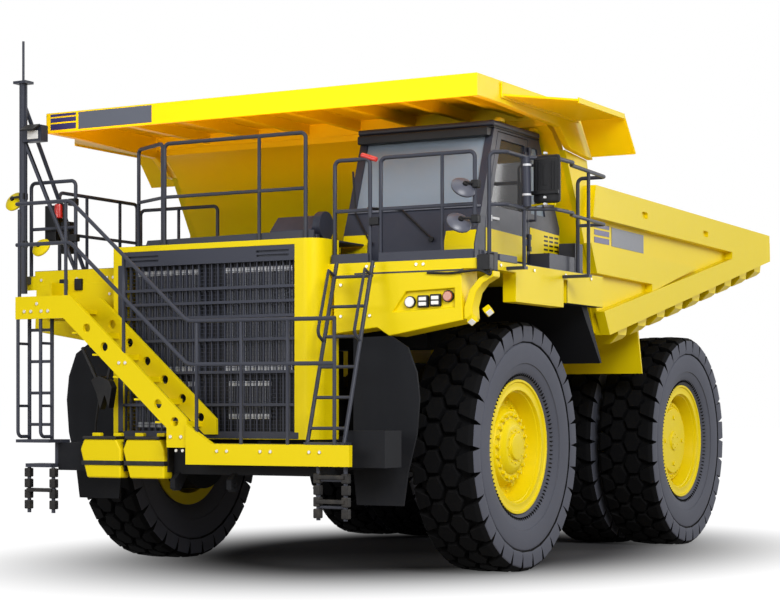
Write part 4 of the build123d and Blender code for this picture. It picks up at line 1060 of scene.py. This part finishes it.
def mirrors():
    """The big mirror in its ribbed case, and the round mirrors on clamped arms."""
    low_z, high_z = 3.835, 4.325
    pieces = [
        *blocks("case", 0.034, (0.985, 3.072, low_z, 1.062, 3.366, high_z)),
        *blocks("case_rim", 0.020, (1.050, 3.086, low_z + 0.090, 1.078, 3.352, high_z - 0.040)),
    ]
    for y in (3.110, 3.145, 3.275, 3.310):
        pieces += blocks("case_rib", 0.006, (1.070, y, low_z + 0.12, 1.086, y + 0.018, high_z - 0.07))
    pieces += blocks("case_shelf", 0.008, (1.056, 3.066, low_z + 0.085, 1.092, 3.370, low_z + 0.125))
    pieces += blocks("case_tie", 0.012, (1.056, 3.190, low_z + 0.17, 1.082, 3.245, high_z - 0.10))
    for piece in pieces:
        give(piece, BLACK)
    for z in (low_z - 0.012, low_z + 0.055, high_z + 0.012):
        bolt = round_bar("case_bolt", at(1.040, 3.218, z), at(1.090, 3.218, z), 0.014, 10, 0.003)
        give(bolt, HEADER)
        pieces.append(bolt)
    for x, y, z, radius, way, (post_x, post_y), finish in (
        (1.86, 2.690, 3.930, 0.130, (0.45, 0.60, 0.60), (1.80, 2.800), MIRROR_BACK),
        (1.86, 2.640, 3.585, 0.130, (0.45, 0.60, 0.60), (1.80, 2.800), MIRROR_BACK),
        (1.86, -2.975, 4.095, 0.125, (0.82, -0.03, 0.50), (1.95, -2.79), YELLOW),
        (1.86, -2.600, 3.560, 0.115, (0.82, -0.03, 0.50), (1.95, -2.79), YELLOW),
    ):
        back = dome(at(x, y, z), way, radius)
        give(back, finish)
        ball_end = at(x, y, z) + Vector(way).normalized() * 0.085
        ball = round_bar("ball", at(x, y, z), ball_end, 0.028, 16, 0.008)
        arm = pipe("mirror_arm", [[ball_end, at(post_x, post_y, z + 0.045)]], 0.013)
        around_post = (post_x - 0.04, post_y - 0.04, z + 0.005, post_x + 0.04, post_y + 0.04, z + 0.085)
        clamp = blocks("clamp", 0.012, around_post)[0]
        for piece in (ball, arm, clamp):
            give(piece, BLACK)
        pieces += [back, ball, arm, clamp]
    for y in (3.300, 3.100):
        clamp = block("case_clamp", at(0.965, y - 0.02, 4.25), at(1.000, y + 0.02, 4.33), 0.008)
        give(clamp, BLACK)
        pieces.append(clamp)
    dress(joined("mirrors_finished", pieces), "chassis", None, "mirrors")
    glass = block("mirror_glass", at(0.981, 3.095, low_z + 0.03), at(0.985, 3.345, high_z - 0.03), 0.001)
    dress(glass, "chassis", STEEL)


def ladder_x(z):
    """How far forwards the leaning left ladder stands at a height."""
    return 1.990 + 0.570 * (3.138 - z) / 1.728


def deck_details():
    """The deck's bright edge, a painted shadow for the gap under it, kick plates, feet of the rails, grab
    tube, rope and the fire bottle.
    """
    edges = [
        front_sheet("deck_edge", rectangle(0.88, 2.84, 3.140, 3.240), DECK_FRONT),
        front_sheet("deck_edge", rectangle(-2.84, -1.43, 3.090, 3.203), DECK_FRONT),
    ]
    dress(joined("deck_edges", edges), "chassis", YELLOW)
    dark = [
        # A dark strip under the deck's edge: painted shadow for the gap there.
        front_sheet("gap_line", rectangle(1.46, 2.70, 3.120, 3.136), 1.8708),
        *blocks(
            "kick_plate",
            0.003,
            (1.838, 2.42, 3.236, 1.860, 2.800, 3.332),
            (1.40, 2.828, 3.236, 1.80, 2.850, 3.325),
            (0.95, 2.828, 3.236, 1.36, 2.850, 3.315),
        ),
    ]
    hood_front = [(-1.31, 3.505), (-1.27, 3.600), (0.86, 3.622), (0.86, 3.512)]
    dark.append(front_sheet("hood_plate", hood_front, 1.668, 0.02))
    frame_x = high("grille_frame").x - FRONT_AXLE + 0.0005
    dark.append(front_sheet("grille_edge", rectangle(-1.352, -1.288, 1.50, 3.30), frame_x))
    dark.append(front_sheet("grille_foot", rectangle(-1.352, 0.930, 1.448, 1.515), frame_x))
    dress(joined("kick_plates", dark), "chassis", SLATE)
    feet = blocks(
        "post_foot",
        0.010,
        (1.80, 2.86, 3.115, 1.90, 3.00, 3.270),
        (1.60, 2.86, 3.120, 1.70, 2.95, 3.300),
        (1.86, -2.325, 3.070, 1.90, -2.225, 3.200),
        (1.86, -2.115, 3.070, 1.90, -2.015, 3.200),
    )
    hose = route(
        (1.88, 2.30, 3.110), (1.89, 2.55, 3.095), (1.89, 2.90, 3.120), (1.89, 3.02, 3.050), (1.86, 2.98, 3.160)
    )
    feet.append(pipe("hose", [hose], 0.013, 0.05))
    for y, z0, z1 in ((-2.185, 3.62, 3.70), (1.663, 3.62, 3.70), (-2.20, 4.02, 4.10)):
        feet.append(block("gate_clamp", at(1.77, y - 0.055, z0), at(1.84, y + 0.055, z1), 0.010))
    dress(joined("black_fittings", feet), "chassis", BLACK)
    hand_tubes = [
        [
            at(ladder_x(3.09), y, 3.09),
            at(ladder_x(3.16) + 0.17, y, 3.15),
            at(ladder_x(2.50) + 0.17, y, 2.50),
            at(ladder_x(2.42), y, 2.42),
        ]
        for y in (1.320, 1.740)
    ]
    dress(pipe("ladder_hand_tubes", hand_tubes, 0.017, 0.06), "chassis", TUBE)
    hood = route((2.01, -2.70, 4.93), (2.13, -2.70, 4.86), (2.13, -2.70, 4.84), (2.01, -2.70, 4.90))
    dress(plate("mast_lamp_hood", hood, Vector((0, 0.20, 0)), 0.004), "chassis", BLACK)
    dress(block("mast_lens", at(2.008, -2.68, 4.765), at(2.020, -2.53, 4.86), 0.006), "chassis", LENS)
    grab = pipe("grab_tube", [route((1.19, 3.075, 3.79), (1.19, 3.060, 4.29))], 0.044, sides=4)
    dress(grab, "chassis", SLATE)
    bands = []
    for z in (3.90, 4.20):
        bands.append(round_bar("band", at(1.19, 3.07, z), at(1.19, 3.07, z + 0.022), 0.047, 24, 0.003))
    dress(joined("grab_bands", bands), "chassis", HEADER)
    rope = route((1.00, 3.04, 3.822), (1.02, 3.17, 3.835), (1.02, 3.31, 3.822))
    dress(pipe("rope", [rope], 0.012, 0.04), "chassis", YELLOW)
    bottle = [
        round_bar("bottle", at(1.72, -2.47, 3.90), at(1.72, -2.47, 4.06), 0.052, 24, 0.016),
        round_bar("lever", at(1.80, 1.50, 4.345), at(1.80, 1.68, 4.285), 0.026, 16, 0.010),
    ]
    dress(joined("fire_bottles", bottle), "chassis", RED)
    bottle_hose = route((1.72, -2.47, 4.09), (1.74, -2.39, 4.05), (1.74, -2.38, 3.84))
    boxes = [
        *blocks("control_box", 0.012, (1.60, -2.66, 3.62, 1.74, -2.50, 4.05)),
        *blocks("control_box", 0.012, (1.62, -2.45, 3.50, 1.72, -2.32, 3.86)),
        round_bar("bottle_head", at(1.72, -2.47, 4.05), at(1.72, -2.47, 4.10), 0.026, 16, 0.004),
        pipe("bottle_hose", [bottle_hose], 0.012, 0.03),
    ]
    dress(joined("control_boxes", boxes), "chassis", BLACK)


CHOCK_STEP = 0.56


def low_details():
    """Straps and caps of the chocks, the low steps' rubbers, the lamp box and the small work lamps."""
    dark = []
    for shift in (0, CHOCK_STEP):
        dark += blocks("cap", 0.012, (2.405, -1.47 + shift, 1.436, 2.575, -1.03 + shift, 1.470))
        dark += blocks("strap", 0.006, (2.402, -1.485 + shift, 1.165, 2.572, -0.972 + shift, 1.213))
        dark += blocks("strap", 0.006, (2.40, -0.985 + shift, 1.10, 2.50, -0.965 + shift, 1.44))
    for y0, y1, x, tops in ((-2.235, -1.895, 2.52, (0.90,)), (1.485, 1.805, 2.63, (0.86, 1.10))):
        for top in tops:
            dark += blocks("step_rubber", 0.008, (x - 0.05, y0, top - 0.035, x + 0.05, y1, top + 0.005))
        for y in (y0, y1):
            for i in range(4):
                z = 0.68 + i * 0.115
                dark += blocks("hanger", 0.010, (x - 0.035, y - 0.038, z, x + 0.035, y + 0.038, z + 0.095))
    outline = [
        (-1.575, 2.070), (-1.460, 2.115), (-1.330, 2.060), (-1.290, 1.985), (-1.335, 1.760), (-1.390, 1.900),
        (-1.450, 1.745), (-1.500, 1.920),
    ]
    dark.append(plate("lamp_box", [at(2.20, y, z) for y, z in outline], Vector((0.10, 0, 0)), 0.012))
    dark.append(pipe("lamp_strut", [route((2.25, -1.72, 2.42), (2.25, -1.53, 2.08))], 0.020))
    dark.append(pipe("lamp_strut", [route((2.25, -1.28, 2.42), (2.25, -1.38, 2.08))], 0.020))
    cable = route((2.25, -1.50, 1.84), (2.20, -1.58, 1.60), (2.15, -1.62, 1.41))
    dark.append(pipe("lamp_cable", [cable], 0.012))
    dress(joined("low_fittings", dark), "chassis", BLACK)
    tabs = []
    for shift in (0, CHOCK_STEP):
        for y0, y1 in ((-1.42, -1.31), (-1.14, -1.04)):
            tabs += blocks("tab", 0.010, (2.41, y0 + shift, 1.465, 2.47, y1 + shift, 1.505))
    lenses = []
    for place, way in (
        (at(1.88, 2.805, 2.655), (0.75, 0.30, -0.60)),
        (at(1.80, 2.925, 2.740), (0.60, 0.62, -0.50)),
    ):
        way = Vector(way).normalized()
        tabs.append(round_bar("work_lamp", place, place + way * 0.085, 0.055, 4, 0.010))
        lenses.append(round_bar("work_lens", place + way * 0.080, place + way * 0.092, 0.042, 4, 0.004))
    dress(joined("yellow_fittings", tabs), "chassis", YELLOW)
    dress(joined("work_lenses", lenses), "chassis", LENS)
    arch = [(2.700, 2.640), (2.700, 2.760), (2.760, 2.930), (2.860, 3.040), (3.020, 3.110)]
    inner = [(3.020, 3.050), (2.905, 2.990), (2.830, 2.900), (2.790, 2.760), (2.800, 2.640)]
    strap = plate("arched_strap", [at(1.70, y, z) for y, z in arch + inner], Vector((0.16, 0, 0)), 0.010)
    dress(strap, "chassis", YELLOW)


stripes()
bolt_rows()
cab_details()
mirrors()
deck_details()
low_details()
radiator_cores()
grille_wires()
lamps()
finish_solids()
give(nodes["cab_glass"], SCREEN)
give(nodes["door_glass"], DOOR_GLASS)
make_wheels()
make_camera()
make_lights()
light_body_only("bounce")
make_world()
make_floor()
bpy.context.scene.view_settings.view_transform = "Standard"
